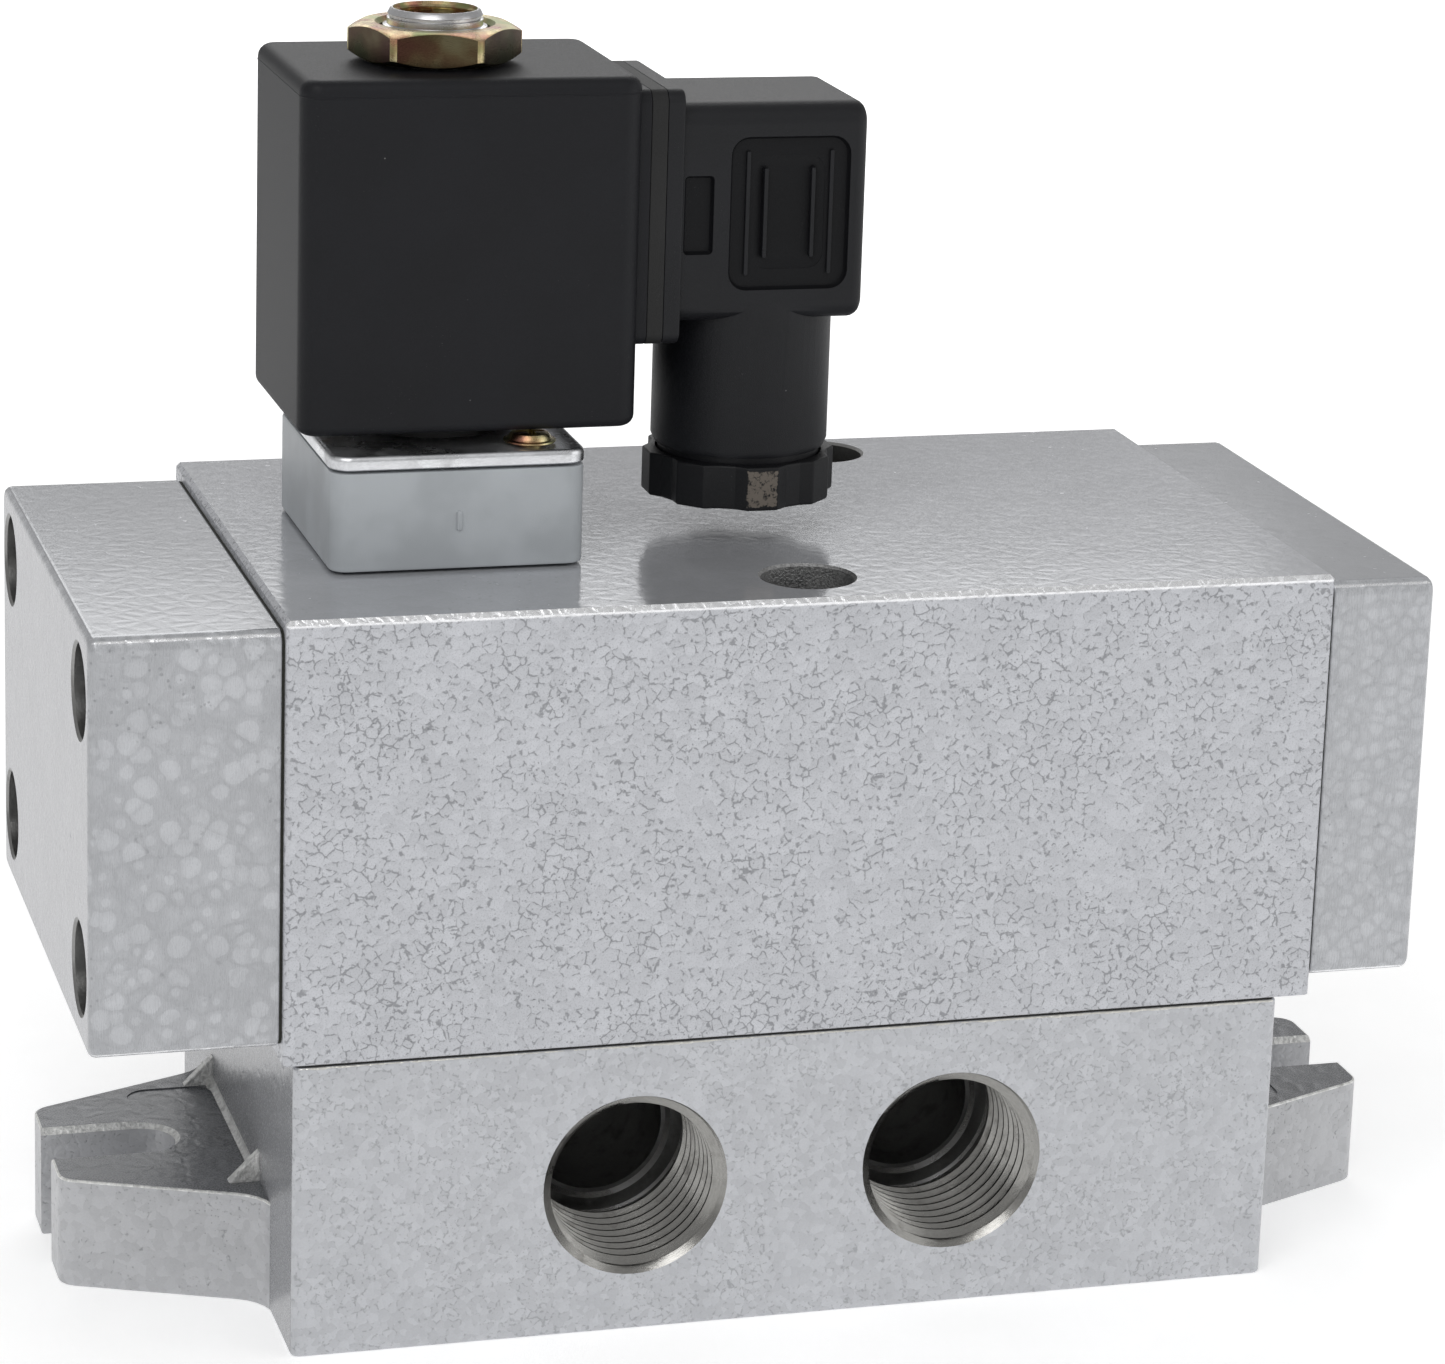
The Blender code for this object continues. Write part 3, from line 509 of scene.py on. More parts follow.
class Graph:
    """Places shader nodes in a tree and links them."""

    def __init__(self, tree: bpy.types.NodeTree) -> None:
        """Takes the tree that the nodes go into."""
        self.tree = tree
        self.millimetres: Optional[Socket] = None

    def add(self, kind: str, inputs: dict[Union[str, int], Value], **settings: object) -> bpy.types.Node:
        """Adds a node.

        Args:
            kind: the node's type.
            inputs: a constant or a socket for each named or numbered input.
            settings: the node's own properties.

        Returns:
            The node.
        """
        node = self.tree.nodes.new(kind)
        for key, value in settings.items():
            setattr(node, key, value)
        for key, value in inputs.items():
            if isinstance(value, Socket):
                self.tree.links.new(value, node.inputs[key])
            else:
                node.inputs[key].default_value = value
        return node

    def place(self) -> Socket:
        """Gives the point on the piece, in millimetres of the piece's own space."""
        if self.millimetres is None:
            point = self.add("ShaderNodeTexCoord", {}).outputs["Object"]
            scaled = self.add("ShaderNodeVectorMath", {0: point, "Scale": 1 / MM}, operation="SCALE")
            self.millimetres = scaled.outputs[0]
        return self.millimetres

    def math(self, operation: str, first: Value, second: Value = 0.0, clamp: bool = False) -> Socket:
        """Works out a sum.

        Args:
            operation: the Math node's operation.
            first: its first number.
            second: its second number.
            clamp: whether the result is kept from 0 to 1.

        Returns:
            The result.
        """
        return self.add(
            "ShaderNodeMath", {0: first, 1: second}, operation=operation, use_clamp=clamp
        ).outputs[0]

    def vector(self, operation: str, first: Value, second: Value) -> Socket:
        """Works out a vector sum.

        Args:
            operation: the Vector Math node's operation.
            first: its first vector.
            second: its second vector.

        Returns:
            The resulting vector.
        """
        return self.add("ShaderNodeVectorMath", {0: first, 1: second}, operation=operation).outputs[0]

    def split(self, vector: Socket) -> tuple[Socket, Socket, Socket]:
        """Gives a vector's three parts."""
        parts = self.add("ShaderNodeSeparateXYZ", {0: vector}).outputs
        return parts[0], parts[1], parts[2]

    def ramp(
        self, value: Value, low: Value, high: Value, at_low: Value = 0.0, at_high: Value = 1.0
    ) -> Socket:
        """Maps a value smoothly from one range to another.

        Args:
            value: the value.
            low: where the ramp starts.
            high: where it ends.
            at_low: the result at its start and before.
            at_high: the result at its end and after.

        Returns:
            The result.
        """
        inputs = {"Value": value, "From Min": low, "From Max": high, "To Min": at_low, "To Max": at_high}
        return self.add("ShaderNodeMapRange", inputs, interpolation_type="SMOOTHSTEP").outputs[0]

    def mix(self, factor: Value, first: Value, second: Value, blend: str = "MIX") -> Socket:
        """Mixes two colours.

        Args:
            factor: the second colour's share.
            first: the colour at 0.
            second: the colour at 1.
            blend: the Mix node's blend type.

        Returns:
            The mixed colour.
        """
        colours = [value if isinstance(value, Socket) else (*value, 1.0) for value in (first, second)]
        inputs = {0: factor, 6: colours[0], 7: colours[1]}
        return self.add("ShaderNodeMix", inputs, data_type="RGBA", blend_type=blend).outputs[2]

    def shade(self, colour: Value, brightness: Value) -> Socket:
        """Makes a colour darker or brighter by a factor."""
        grey = self.add("ShaderNodeCombineColor", {0: brightness, 1: brightness, 2: brightness}).outputs[0]
        return self.mix(1.0, colour, grey, "MULTIPLY")

    def noise(
        self, vector: Socket, size: Value, detail: float = 3.0, roughness: float = 0.5
    ) -> bpy.types.Node:
        """Adds a noise texture.

        Args:
            vector: the point, in millimetres.
            size: the size of its largest features, in millimetres.
            detail: how many finer layers it has.
            roughness: how strong the finer layers are.

        Returns:
            The texture node.
        """
        scale = self.math("DIVIDE", 1.0, size) if isinstance(size, Socket) else 1.0 / size
        inputs = {"Vector": vector, "Scale": scale, "Detail": detail, "Roughness": roughness}
        return self.add("ShaderNodeTexNoise", inputs)

    def cells(self, vector: Socket, size: Value, feature: str = "F1") -> bpy.types.Node:
        """Adds a cell texture.

        Args:
            vector: the point, in millimetres.
            size: the size of a cell, in millimetres.
            feature: F1 for the distance to a cell's centre, DISTANCE_TO_EDGE for the distance to its edge.

        Returns:
            The texture node.
        """
        scale = self.math("DIVIDE", 1.0, size) if isinstance(size, Socket) else 1.0 / size
        return self.add("ShaderNodeTexVoronoi", {"Vector": vector, "Scale": scale}, feature=feature)

    def effect(self, effect: "Effect", **inputs: Value) -> bpy.types.NodeOutputs:
        """Places an effect's node group.

        Args:
            effect: the effect.
            inputs: a constant or a socket for each of its inputs.

        Returns:
            The group's outputs.
        """
        node = self.tree.nodes.new("ShaderNodeGroup")
        node.node_tree = effect.tree()
        for key, value in inputs.items():
            if isinstance(value, Socket):
                self.tree.links.new(value, node.inputs[key])
            else:
                node.inputs[key].default_value = value
        return node.outputs

    def bump(self, height: Socket, distance: float, strength: float = 1.0) -> Socket:
        """Turns a height into a normal.

        Args:
            height: the height, where 1 is one distance.
            distance: the height of 1, in millimetres.
            strength: how much of it shows.

        Returns:
            The normal.
        """
        inputs = {"Height": height, "Distance": distance * MM, "Strength": strength}
        return self.add("ShaderNodeBump", inputs).outputs[0]


class Effect:
    """A shader node group that is built once, and that each finish places with its own values."""

    label = ""
    inlets: dict[str, Value] = {}
    outlets: dict[str, str] = {}

    def tree(self) -> bpy.types.NodeTree:
        """Gives the group, which is built the first time."""
        found = bpy.data.node_groups.get(self.label)
        if found:
            return found
        tree = bpy.data.node_groups.new(self.label, "ShaderNodeTree")
        for name, value in self.inlets.items():
            kind = "NodeSocketVector" if isinstance(value, tuple) else "NodeSocketFloat"
            socket = tree.interface.new_socket(name=name, in_out="INPUT", socket_type=kind)
            socket.default_value = value
        for name, kind in self.outlets.items():
            tree.interface.new_socket(name=name, in_out="OUTPUT", socket_type=kind)
        entry, end = tree.nodes.new("NodeGroupInput"), tree.nodes.new("NodeGroupOutput")
        for name, socket in self.build(Graph(tree), entry.outputs).items():
            tree.links.new(socket, end.inputs[name])
        return tree

    def build(self, graph: Graph, given: bpy.types.NodeOutputs) -> dict[str, Socket]:
        """Builds the nodes.

        Args:
            graph: the group's graph.
            given: the group's inputs.

        Returns:
            The socket behind each output.
        """
        raise NotImplementedError


class HammerCells(Effect):
    """The cells of hammered enamel: low domes parted by cracks that come and go, with pinholes in patches."""

    label = "hammer_cells"
    inlets = {"Point": (0.0, 0.0, 0.0), "Cell": 1.2, "Crack Width": 0.06, "Unbroken": 0.5, "Wander": 0.5}
    outlets = {name: "NodeSocketFloat" for name in ("Dome", "Crack", "Pinhole", "Tone", "Blob")}

    def build(self, graph: Graph, given: bpy.types.NodeOutputs) -> dict[str, Socket]:
        """Builds the nodes.

        Args:
            graph: the group's graph.
            given: the group's inputs.

        Returns:
            The socket behind each output.
        """
        point, cell = given["Point"], given["Cell"]
        stray = graph.noise(point, cell, detail=3.0, roughness=0.6).outputs["Color"]
        stray = graph.vector("SUBTRACT", stray, (0.5, 0.5, 0.5))
        reach = graph.math("MULTIPLY", cell, given["Wander"])
        stray = graph.add("ShaderNodeVectorMath", {0: stray, "Scale": reach}, operation="SCALE").outputs[0]
        bent = graph.vector("ADD", point, stray)
        edge = graph.cells(bent, cell, "DISTANCE_TO_EDGE").outputs["Distance"]
        body = graph.cells(bent, cell)
        patch = graph.noise(point, graph.math("MULTIPLY", cell, 4.5), detail=2.0).outputs["Fac"]
        gaps = graph.noise(point, graph.math("MULTIPLY", cell, 0.55), detail=2.0).outputs["Fac"]
        shown = graph.math("ADD", graph.math("MULTIPLY", patch, 0.3), graph.math("MULTIPLY", gaps, 0.7))
        start = graph.math("SUBTRACT", 0.65, graph.math("MULTIPLY", given["Unbroken"], 0.3))
        shown = graph.ramp(shown, start, graph.math("ADD", start, 0.12))
        width = graph.math("MULTIPLY", given["Crack Width"], graph.ramp(gaps, 0.4, 0.68, 0.7, 2.1))
        line = graph.ramp(edge, width, graph.math("MULTIPLY", width, 0.25))
        crack = graph.math("MULTIPLY", line, shown)
        holes = graph.cells(point, graph.math("MULTIPLY", cell, 0.5)).outputs["Distance"]
        where = graph.noise(point, graph.math("MULTIPLY", cell, 9.0), detail=1.0).outputs["Fac"]
        pinhole = graph.math("MULTIPLY", graph.ramp(holes, 0.2, 0.1), graph.ramp(where, 0.5, 0.6))
        chance = graph.add("ShaderNodeSeparateColor", {0: body.outputs["Color"]}).outputs
        reach = graph.ramp(chance[1], 0.0, 1.0, 0.28, 0.62)
        blob = graph.ramp(body.outputs["Distance"], reach, graph.math("SUBTRACT", reach, 0.07))
        dome = graph.ramp(edge, 0.0, 0.34)
        return {"Dome": dome, "Crack": crack, "Pinhole": pinhole, "Tone": chance[0], "Blob": blob}


class EdgeWear(Effect):
    """Rubbed edges and chips of a block, from the distance to the nearest edge of its box."""

    label = "edge_wear"
    inlets = {
        "Point": (0.0, 0.0, 0.0), "Low": (0.0, 0.0, 0.0), "High": (1.0, 1.0, 1.0), "Width": 0.6, "Chips": 0.3
    }
    outlets = {"Wear": "NodeSocketFloat", "Nearness": "NodeSocketFloat"}

    def build(self, graph: Graph, given: bpy.types.NodeOutputs) -> dict[str, Socket]:
        """Builds the nodes.

        Args:
            graph: the group's graph.
            given: the group's inputs.

        Returns:
            The socket behind each output.
        """
        point = given["Point"]
        below = graph.vector("SUBTRACT", point, given["Low"])
        above = graph.vector("SUBTRACT", given["High"], point)
        x, y, z = graph.split(graph.vector("MINIMUM", below, above))
        least = graph.math("MINIMUM", graph.math("MINIMUM", x, y), z)
        most = graph.math("MAXIMUM", graph.math("MAXIMUM", x, y), z)
        total = graph.math("ADD", graph.math("ADD", x, y), z)
        edge = graph.math("SUBTRACT", graph.math("SUBTRACT", total, least), most)
        ragged = graph.noise(point, 1.6, detail=5.0, roughness=0.7).outputs["Fac"]
        large = graph.noise(point, 14.0, detail=2.0).outputs["Fac"]
        ragged = graph.math("ADD", graph.math("MULTIPLY", ragged, 0.6), graph.math("MULTIPLY", large, 0.4))
        push = graph.math(
            "MULTIPLY", graph.math("SUBTRACT", ragged, 0.5), graph.math("MULTIPLY", given["Chips"], 8.0)
        )
        ragged_edge = graph.math("SUBTRACT", edge, push)
        width = given["Width"]
        wear = graph.ramp(
            ragged_edge, graph.math("MULTIPLY", width, 1.15), graph.math("MULTIPLY", width, 0.85)
        )
        near = graph.ramp(edge, graph.math("MULTIPLY", width, 5.0), 0.0)
        return {"Wear": wear, "Nearness": near}


class Grain(Effect):
    """Fine grain, brushed lines where it is stretched, and a slow cloudiness."""

    label = "grain"
    inlets = {"Point": (0.0, 0.0, 0.0), "Size": 0.25, "Stretch": (1.0, 1.0, 1.0)}
    outlets = {"Grain": "NodeSocketFloat", "Cloud": "NodeSocketFloat"}

    def build(self, graph: Graph, given: bpy.types.NodeOutputs) -> dict[str, Socket]:
        """Builds the nodes.

        Args:
            graph: the group's graph.
            given: the group's inputs.

        Returns:
            The socket behind each output.
        """
        drawn = graph.vector("DIVIDE", given["Point"], given["Stretch"])
        grain = graph.noise(drawn, given["Size"], detail=3.0, roughness=0.6).outputs["Fac"]
        cloud = graph.noise(given["Point"], 9.0, detail=3.0).outputs["Fac"]
        return {"Grain": graph.ramp(grain, 0.25, 0.75), "Cloud": graph.ramp(cloud, 0.3, 0.7)}


class Specks(Effect):
    """Scattered dust specks and short fine scratches."""

    label = "specks"
    inlets = {"Point": (0.0, 0.0, 0.0), "Spacing": 3.0, "Size": 0.06}
    outlets = {"Speck": "NodeSocketFloat", "Scratch": "NodeSocketFloat"}

    def build(self, graph: Graph, given: bpy.types.NodeOutputs) -> dict[str, Socket]:
        """Builds the nodes.

        Args:
            graph: the group's graph.
            given: the group's inputs.

        Returns:
            The socket behind each output.
        """
        point = given["Point"]
        spots = graph.cells(point, given["Spacing"])
        size = graph.math("DIVIDE", given["Size"], given["Spacing"])
        near = graph.ramp(spots.outputs["Distance"], size, graph.math("MULTIPLY", size, 0.4))
        chance = graph.add("ShaderNodeSeparateColor", {0: spots.outputs["Color"]}).outputs[0]
        speck = graph.math("MULTIPLY", near, graph.ramp(chance, 0.5, 0.9))
        lean = graph.add(
            "ShaderNodeVectorRotate", {"Vector": point, "Rotation": (0.4, 0.9, 0.3)},
            rotation_type="EULER_XYZ"
        )
        drawn = graph.vector("DIVIDE", lean.outputs[0], (0.12, 2.2, 0.12))
        hair = graph.noise(drawn, 1.0, detail=1.0).outputs["Fac"]
        where = graph.noise(point, 6.0, detail=2.0).outputs["Fac"]
        scratch = graph.math("MULTIPLY", graph.ramp(hair, 0.74, 0.8), graph.ramp(where, 0.55, 0.7))
        return {"Speck": speck, "Scratch": scratch}


class ZincBloom(Effect):
    """The straw, rose and green bloom of yellow passivated zinc."""

    label = "zinc_bloom"
    inlets = {"Point": (0.0, 0.0, 0.0), "Size": 4.0}
    outlets = {"Colour": "NodeSocketColor", "Film": "NodeSocketFloat"}

    def build(self, graph: Graph, given: bpy.types.NodeOutputs) -> dict[str, Socket]:
        """Builds the nodes.

        Args:
            graph: the group's graph.
            given: the group's inputs.

        Returns:
            The socket behind each output.
        """
        first = graph.noise(given["Point"], given["Size"], detail=3.0, roughness=0.55).outputs["Fac"]
        moved = graph.vector("ADD", given["Point"], (31.0, 17.0, 5.0))
        second = graph.noise(moved, given["Size"], detail=2.0).outputs["Fac"]
        straw, gold = (0.72, 0.64, 0.38), (0.56, 0.42, 0.17)
        rose, green = (0.36, 0.17, 0.12), (0.30, 0.32, 0.14)
        colour = graph.mix(graph.ramp(first, 0.3, 0.7), gold, straw)
        colour = graph.mix(graph.ramp(first, 0.62, 0.3), colour, rose)
        colour = graph.mix(graph.ramp(second, 0.45, 0.7), colour, green)
        return {"Colour": colour, "Film": graph.ramp(second, 0.3, 0.7)}


@dataclass(frozen=True)
class Finish:
    """A procedural finish; each kind lays its own nodes round a Principled shader."""

    name: str
    colour: Triple = (0.5, 0.5, 0.5)
    roughness: float = 0.4

    def material(self) -> bpy.types.Material:
        """Gives the material, which is built the first time."""
        found = bpy.data.materials.get(self.name)
        if found:
            return found
        made = bpy.data.materials.new(self.name)
        made.use_nodes = True
        self.paint(Graph(made.node_tree), made.node_tree.nodes["Principled BSDF"])
        return made

    def paint(self, graph: Graph, shader: bpy.types.Node) -> None:
        """Lays the nodes.

        Args:
            graph: the material's graph.
            shader: its Principled shader.
        """
        raise NotImplementedError

    def feed(self, graph: Graph, shader: bpy.types.Node, **sockets: Socket) -> None:
        """Links sockets to the shader.

        Args:
            graph: the material's graph.
            shader: its Principled shader.
            sockets: a socket for each input, with _ for a space in its name.
        """
        for key, socket in sockets.items():
            graph.tree.links.new(socket, shader.inputs[key.replace("_", " ")])


@dataclass(frozen=True)
class HammerPaint(Finish):
    """Silver hammered enamel on a casting, worn along the edges of its block."""

    block: tuple[Triple, Triple] = ((0.0, 0.0, 0.0), (1.0, 1.0, 1.0))
    cell: float = 1.25
    unbroken: float = 0.68
    crack_width: float = 0.055
    crack: float = 0.62
    pinhole: float = 0.6
    tone: float = 0.05
    wander: float = 0.7
    relief: float = 0.05
    rim: float = 0.0
    blob: float = 0.0
    streak: float = 0.025
    stretch: Triple = (1.0, 1.0, 1.0)
    wear_width: float = 0.5
    chips: float = 0.05
    metallic: float = 0.12
    bare: Triple = (0.93, 0.935, 0.95)
    crack_colour: Triple = (0.15, 0.155, 0.165)

    def paint(self, graph: Graph, shader: bpy.types.Node) -> None:
        """Lays the nodes.

        Args:
            graph: the material's graph.
            shader: its Principled shader.
        """
        point = graph.place()
        given = {
            "Cell": self.cell, "Crack Width": self.crack_width, "Unbroken": self.unbroken,
            "Wander": self.wander
        }
        cells = graph.effect(HammerCells(), Point=point, **given)
        grain = graph.effect(Grain(), Point=point, Size=0.22, Stretch=self.stretch)
        wear = graph.effect(
            EdgeWear(), Point=point, Low=self.block[0], High=self.block[1], Width=self.wear_width,
            Chips=self.chips
        )
        tone = graph.ramp(cells["Tone"], 0.0, 1.0, 1.0 - self.tone, 1.0 + self.tone)
        streak = graph.ramp(grain["Grain"], 0.0, 1.0, 1.0 - self.streak, 1.0 + self.streak)
        edge = graph.ramp(cells["Dome"], 0.0, 0.8, 1.0 - self.rim, 1.0)
        cloud = graph.ramp(grain["Cloud"], 0.0, 1.0, 0.975, 1.02)
        light = graph.math(
            "MULTIPLY", graph.math("MULTIPLY", tone, streak), graph.math("MULTIPLY", edge, cloud)
        )
        light = graph.math(
            "MULTIPLY", light, graph.ramp(cells["Blob"], 0.0, 1.0, 1.0 - self.blob, 1.0 + self.blob / 3)
        )
        colour = graph.shade(self.colour, light)
        colour = graph.mix(graph.math("MULTIPLY", cells["Crack"], self.crack), colour, self.crack_colour)
        colour = graph.mix(graph.math("MULTIPLY", cells["Pinhole"], self.pinhole), colour, self.crack_colour)
        colour = graph.mix(wear["Wear"], colour, self.bare)
        rough = graph.ramp(grain["Grain"], 0.0, 1.0, self.roughness - 0.04, self.roughness + 0.06)
        rough = graph.math("ADD", rough, graph.math("MULTIPLY", cells["Crack"], 0.25))
        sunk = graph.math("ADD", graph.math("MULTIPLY", cells["Crack"], 0.5), cells["Pinhole"])
        height = graph.math("SUBTRACT", cells["Dome"], graph.math("MULTIPLY", sunk, 0.5))
        height = graph.math("ADD", height, graph.math("MULTIPLY", grain["Grain"], 0.12))
        normal = graph.bump(height, self.relief)
        metallic = graph.ramp(wear["Wear"], 0.0, 1.0, self.metallic, 0.75)
        self.feed(graph, shader, Base_Color=colour, Roughness=rough, Metallic=metallic, Normal=normal)


@dataclass(frozen=True)
class BareMetal(Finish):
    """Bare or plated metal with machining lines, a cloudy sheen and some dirt."""

    size: float = 0.18
    stretch: Triple = (1.0, 1.0, 1.0)
    lines: float = 0.08
    relief: float = 0.006
    dirt: float = 0.25
    dirt_colour: Triple = (0.10, 0.09, 0.08)
    metallic: float = 1.0

    def paint(self, graph: Graph, shader: bpy.types.Node) -> None:
        """Lays the nodes.

        Args:
            graph: the material's graph.
            shader: its Principled shader.
        """
        point = graph.place()
        grain = graph.effect(Grain(), Point=point, Size=self.size, Stretch=self.stretch)
        specks = graph.effect(Specks(), Point=point, Spacing=1.6, Size=0.12)
        light = graph.ramp(grain["Grain"], 0.0, 1.0, 1.0 - self.lines, 1.0 + self.lines / 2)
        colour = graph.shade(self.colour, light)
        grime = graph.noise(point, 2.6, detail=5.0, roughness=0.65).outputs["Fac"]
        grime = graph.math("MULTIPLY", graph.ramp(grime, 0.5, 0.74), self.dirt)
        colour = graph.mix(grime, colour, self.dirt_colour)
        colour = graph.mix(graph.math("MULTIPLY", specks["Speck"], 0.5), colour, self.dirt_colour)
        rough = graph.ramp(grain["Cloud"], 0.0, 1.0, self.roughness - 0.06, self.roughness + 0.08)
        rough = graph.math("ADD", rough, graph.math("MULTIPLY", grime, 0.4))
        normal = graph.bump(grain["Grain"], self.relief)
        metallic = graph.ramp(grime, 0.0, 1.0, self.metallic, 0.3 * self.metallic)
        self.feed(graph, shader, Base_Color=colour, Roughness=rough, Metallic=metallic, Normal=normal)


@dataclass(frozen=True)
class YellowZinc(Finish):
    """Yellow passivated zinc with its iridescent bloom."""

    bloom: float = 4.0
    # scales the colour; below one it darkens the zinc, which paints the dark reflection on the nut's flats
    depth: float = 1.0

    def paint(self, graph: Graph, shader: bpy.types.Node) -> None:
        """Lays the nodes.

        Args:
            graph: the material's graph.
            shader: its Principled shader.
        """
        point = graph.place()
        bloom = graph.effect(ZincBloom(), Point=point, Size=self.bloom)
        grain = graph.effect(Grain(), Point=point, Size=0.12, Stretch=(1.0, 1.0, 1.0))
        colour = graph.shade(
            bloom["Colour"], graph.ramp(grain["Grain"], 0.0, 1.0, 0.85 * self.depth, 1.05 * self.depth)
        )
        rough = graph.ramp(bloom["Film"], 0.0, 1.0, self.roughness - 0.06, self.roughness + 0.08)
        normal = graph.bump(grain["Grain"], 0.008)
        shader.inputs["Metallic"].default_value = 1.0
        self.feed(graph, shader, Base_Color=colour, Roughness=rough, Normal=normal)


@dataclass(frozen=True)
class Moulding(Finish):
    """A moulded or rubber surface: fine grain, slow cloudiness, dust specks and hair scratches."""

    size: float = 0.16
    relief: float = 0.012
    cloud: float = 0.08
    dust: float = 0.5
    dust_colour: Triple = (0.30, 0.30, 0.30)
    scratch: float = 0.25
    specular: float = 0.32

    def paint(self, graph: Graph, shader: bpy.types.Node) -> None:
        """Lays the nodes.

        Args:
            graph: the material's graph.
            shader: its Principled shader.
        """
        point = graph.place()
        grain = graph.effect(Grain(), Point=point, Size=self.size, Stretch=(1.0, 1.0, 1.0))
        specks = graph.effect(Specks(), Point=point, Spacing=3.4, Size=0.11)
        colour = graph.shade(
            self.colour, graph.ramp(grain["Cloud"], 0.0, 1.0, 1.0 - self.cloud, 1.0 + self.cloud)
        )
        colour = graph.mix(graph.math("MULTIPLY", specks["Speck"], self.dust), colour, self.dust_colour)
        colour = graph.mix(graph.math("MULTIPLY", specks["Scratch"], self.scratch), colour, self.dust_colour)
        rough = graph.ramp(grain["Grain"], 0.0, 1.0, self.roughness - 0.05, self.roughness + 0.05)
        rough = graph.math("SUBTRACT", rough, graph.math("MULTIPLY", specks["Scratch"], 0.1))
        normal = graph.bump(grain["Grain"], self.relief)
        self.feed(graph, shader, Base_Color=colour, Roughness=rough, Normal=normal)
        shader.inputs["Specular IOR Level"].default_value = self.specular


@dataclass(frozen=True)
class FloorPaper(Moulding):
    """Pale paper that glows a little, and to the eye more with distance, so that the floor has no horizon."""

    near: Pair = (250.0, 0.42)  # distance and glow
    far: Pair = (800.0, 1.0)

    def paint(self, graph: Graph, shader: bpy.types.Node) -> None:
        """Lays the nodes.

        Args:
            graph: the material's graph.
            shader: its Principled shader.
        """
        super().paint(graph, shader)
        distance = graph.add("ShaderNodeVectorMath", {0: graph.place()}, operation="LENGTH").outputs["Value"]
        more = graph.ramp(distance, self.near[0], self.far[0], 0.0, self.far[1] - self.near[1])
        seen = graph.add("ShaderNodeLightPath", {}).outputs["Is Camera Ray"]
        glow = graph.math("ADD", self.near[1], graph.math("MULTIPLY", more, seen))
        self.feed(graph, shader, Emission_Color=graph.shade((1.0, 1.0, 1.0), glow))
        shader.inputs["Emission Strength"].default_value = 1.0


@dataclass(frozen=True)
class ScuffedMoulding(Moulding):
    """Black moulding with one patch scraped pale and brownish, inside a box."""

    patch: tuple[Triple, Triple] = ((0.0, 0.0, 0.0), (1.0, 1.0, 1.0))
    patch_colour: Triple = (0.145, 0.125, 0.105)

    def paint(self, graph: Graph, shader: bpy.types.Node) -> None:
        """Lays the nodes.

        Args:
            graph: the material's graph.
            shader: its Principled shader.
        """
        super().paint(graph, shader)
        point = graph.place()
        below = graph.vector("SUBTRACT", point, self.patch[0])
        above = graph.vector("SUBTRACT", self.patch[1], point)
        x, y, z = graph.split(graph.vector("MINIMUM", below, above))
        inside = graph.math("MINIMUM", graph.math("MINIMUM", x, y), z)
        ragged = graph.noise(point, 0.7, detail=5.0, roughness=0.7).outputs["Fac"]
        inside = graph.math("ADD", inside, graph.math("MULTIPLY", graph.math("SUBTRACT", ragged, 0.5), 0.9))
        mask = graph.math("MULTIPLY", graph.ramp(inside, 0.0, 0.12), graph.ramp(ragged, 0.36, 0.5))
        plain = shader.inputs["Base Color"].links[0].from_socket
        self.feed(graph, shader, Base_Color=graph.mix(mask, plain, self.patch_colour))


@dataclass(frozen=True)
class Winding(Finish):
    """Enamelled copper wire, wound in fine turns along Z."""

    wire: float = 0.22

    def paint(self, graph: Graph, shader: bpy.types.Node) -> None:
        """Lays the nodes.

        Args:
            graph: the material's graph.
            shader: its Principled shader.
        """
        point = graph.place()
        _, _, height = graph.split(point)
        turn = graph.math("SINE", graph.math("MULTIPLY", height, 2 * math.pi / self.wire))
        turn = graph.ramp(turn, -1.0, 1.0)
        grain = graph.effect(Grain(), Point=point, Size=0.4, Stretch=(4.0, 4.0, 0.5))
        colour = graph.shade(self.colour, graph.ramp(turn, 0.0, 1.0, 0.45, 1.05))
        rough = graph.ramp(grain["Grain"], 0.0, 1.0, self.roughness - 0.05, self.roughness + 0.1)
        shader.inputs["Metallic"].default_value = 1.0
        self.feed(graph, shader, Base_Color=colour, Roughness=rough, Normal=graph.bump(turn, 0.05))


# The finishes that more than one sub-assembly uses
# machined aluminium painted far darker than its own colour, a painted shade inside the threaded ports
MACHINED_SHADED = BareMetal(
    "machined_aluminium_shaded", (0.32, 0.315, 0.30), 0.25, size=0.12, stretch=(5.0, 0.8, 5.0), dirt=0.35
)
BORED = BareMetal("bored_aluminium", (0.30, 0.30, 0.295), 0.36, size=0.16, stretch=(2.0, 2.0, 2.0), dirt=0.5)
WELL_WALL = BareMetal("drilled_wall", (0.40, 0.40, 0.40), 0.5, size=0.3, relief=0.05, lines=0.3, dirt=0.5)
TURNED_STEEL = BareMetal(
    "turned_steel", (0.62, 0.62, 0.63), 0.24, size=0.1, stretch=(4.0, 4.0, 0.6), dirt=0.1
)
DARK_STEEL = BareMetal("blackened_steel", (0.055, 0.055, 0.06), 0.42, size=0.15, dirt=0.3)
BRASS_TURNED = BareMetal(
    "turned_brass", (0.72, 0.53, 0.24), 0.3, size=0.12, stretch=(4.0, 4.0, 0.6), dirt=0.2
)
YELLOW = YellowZinc("yellow_zinc_bloom", roughness=0.24)
SHEET = Moulding("gasket_sheet", (0.020, 0.021, 0.016), 0.7, size=0.3, relief=0.03, dust=0.2)
RUBBER = Moulding("nitrile_rubber", (0.014, 0.014, 0.014), 0.6, size=0.2, relief=0.01, dust=0.3, scratch=0.1)


# Sub-assemblies


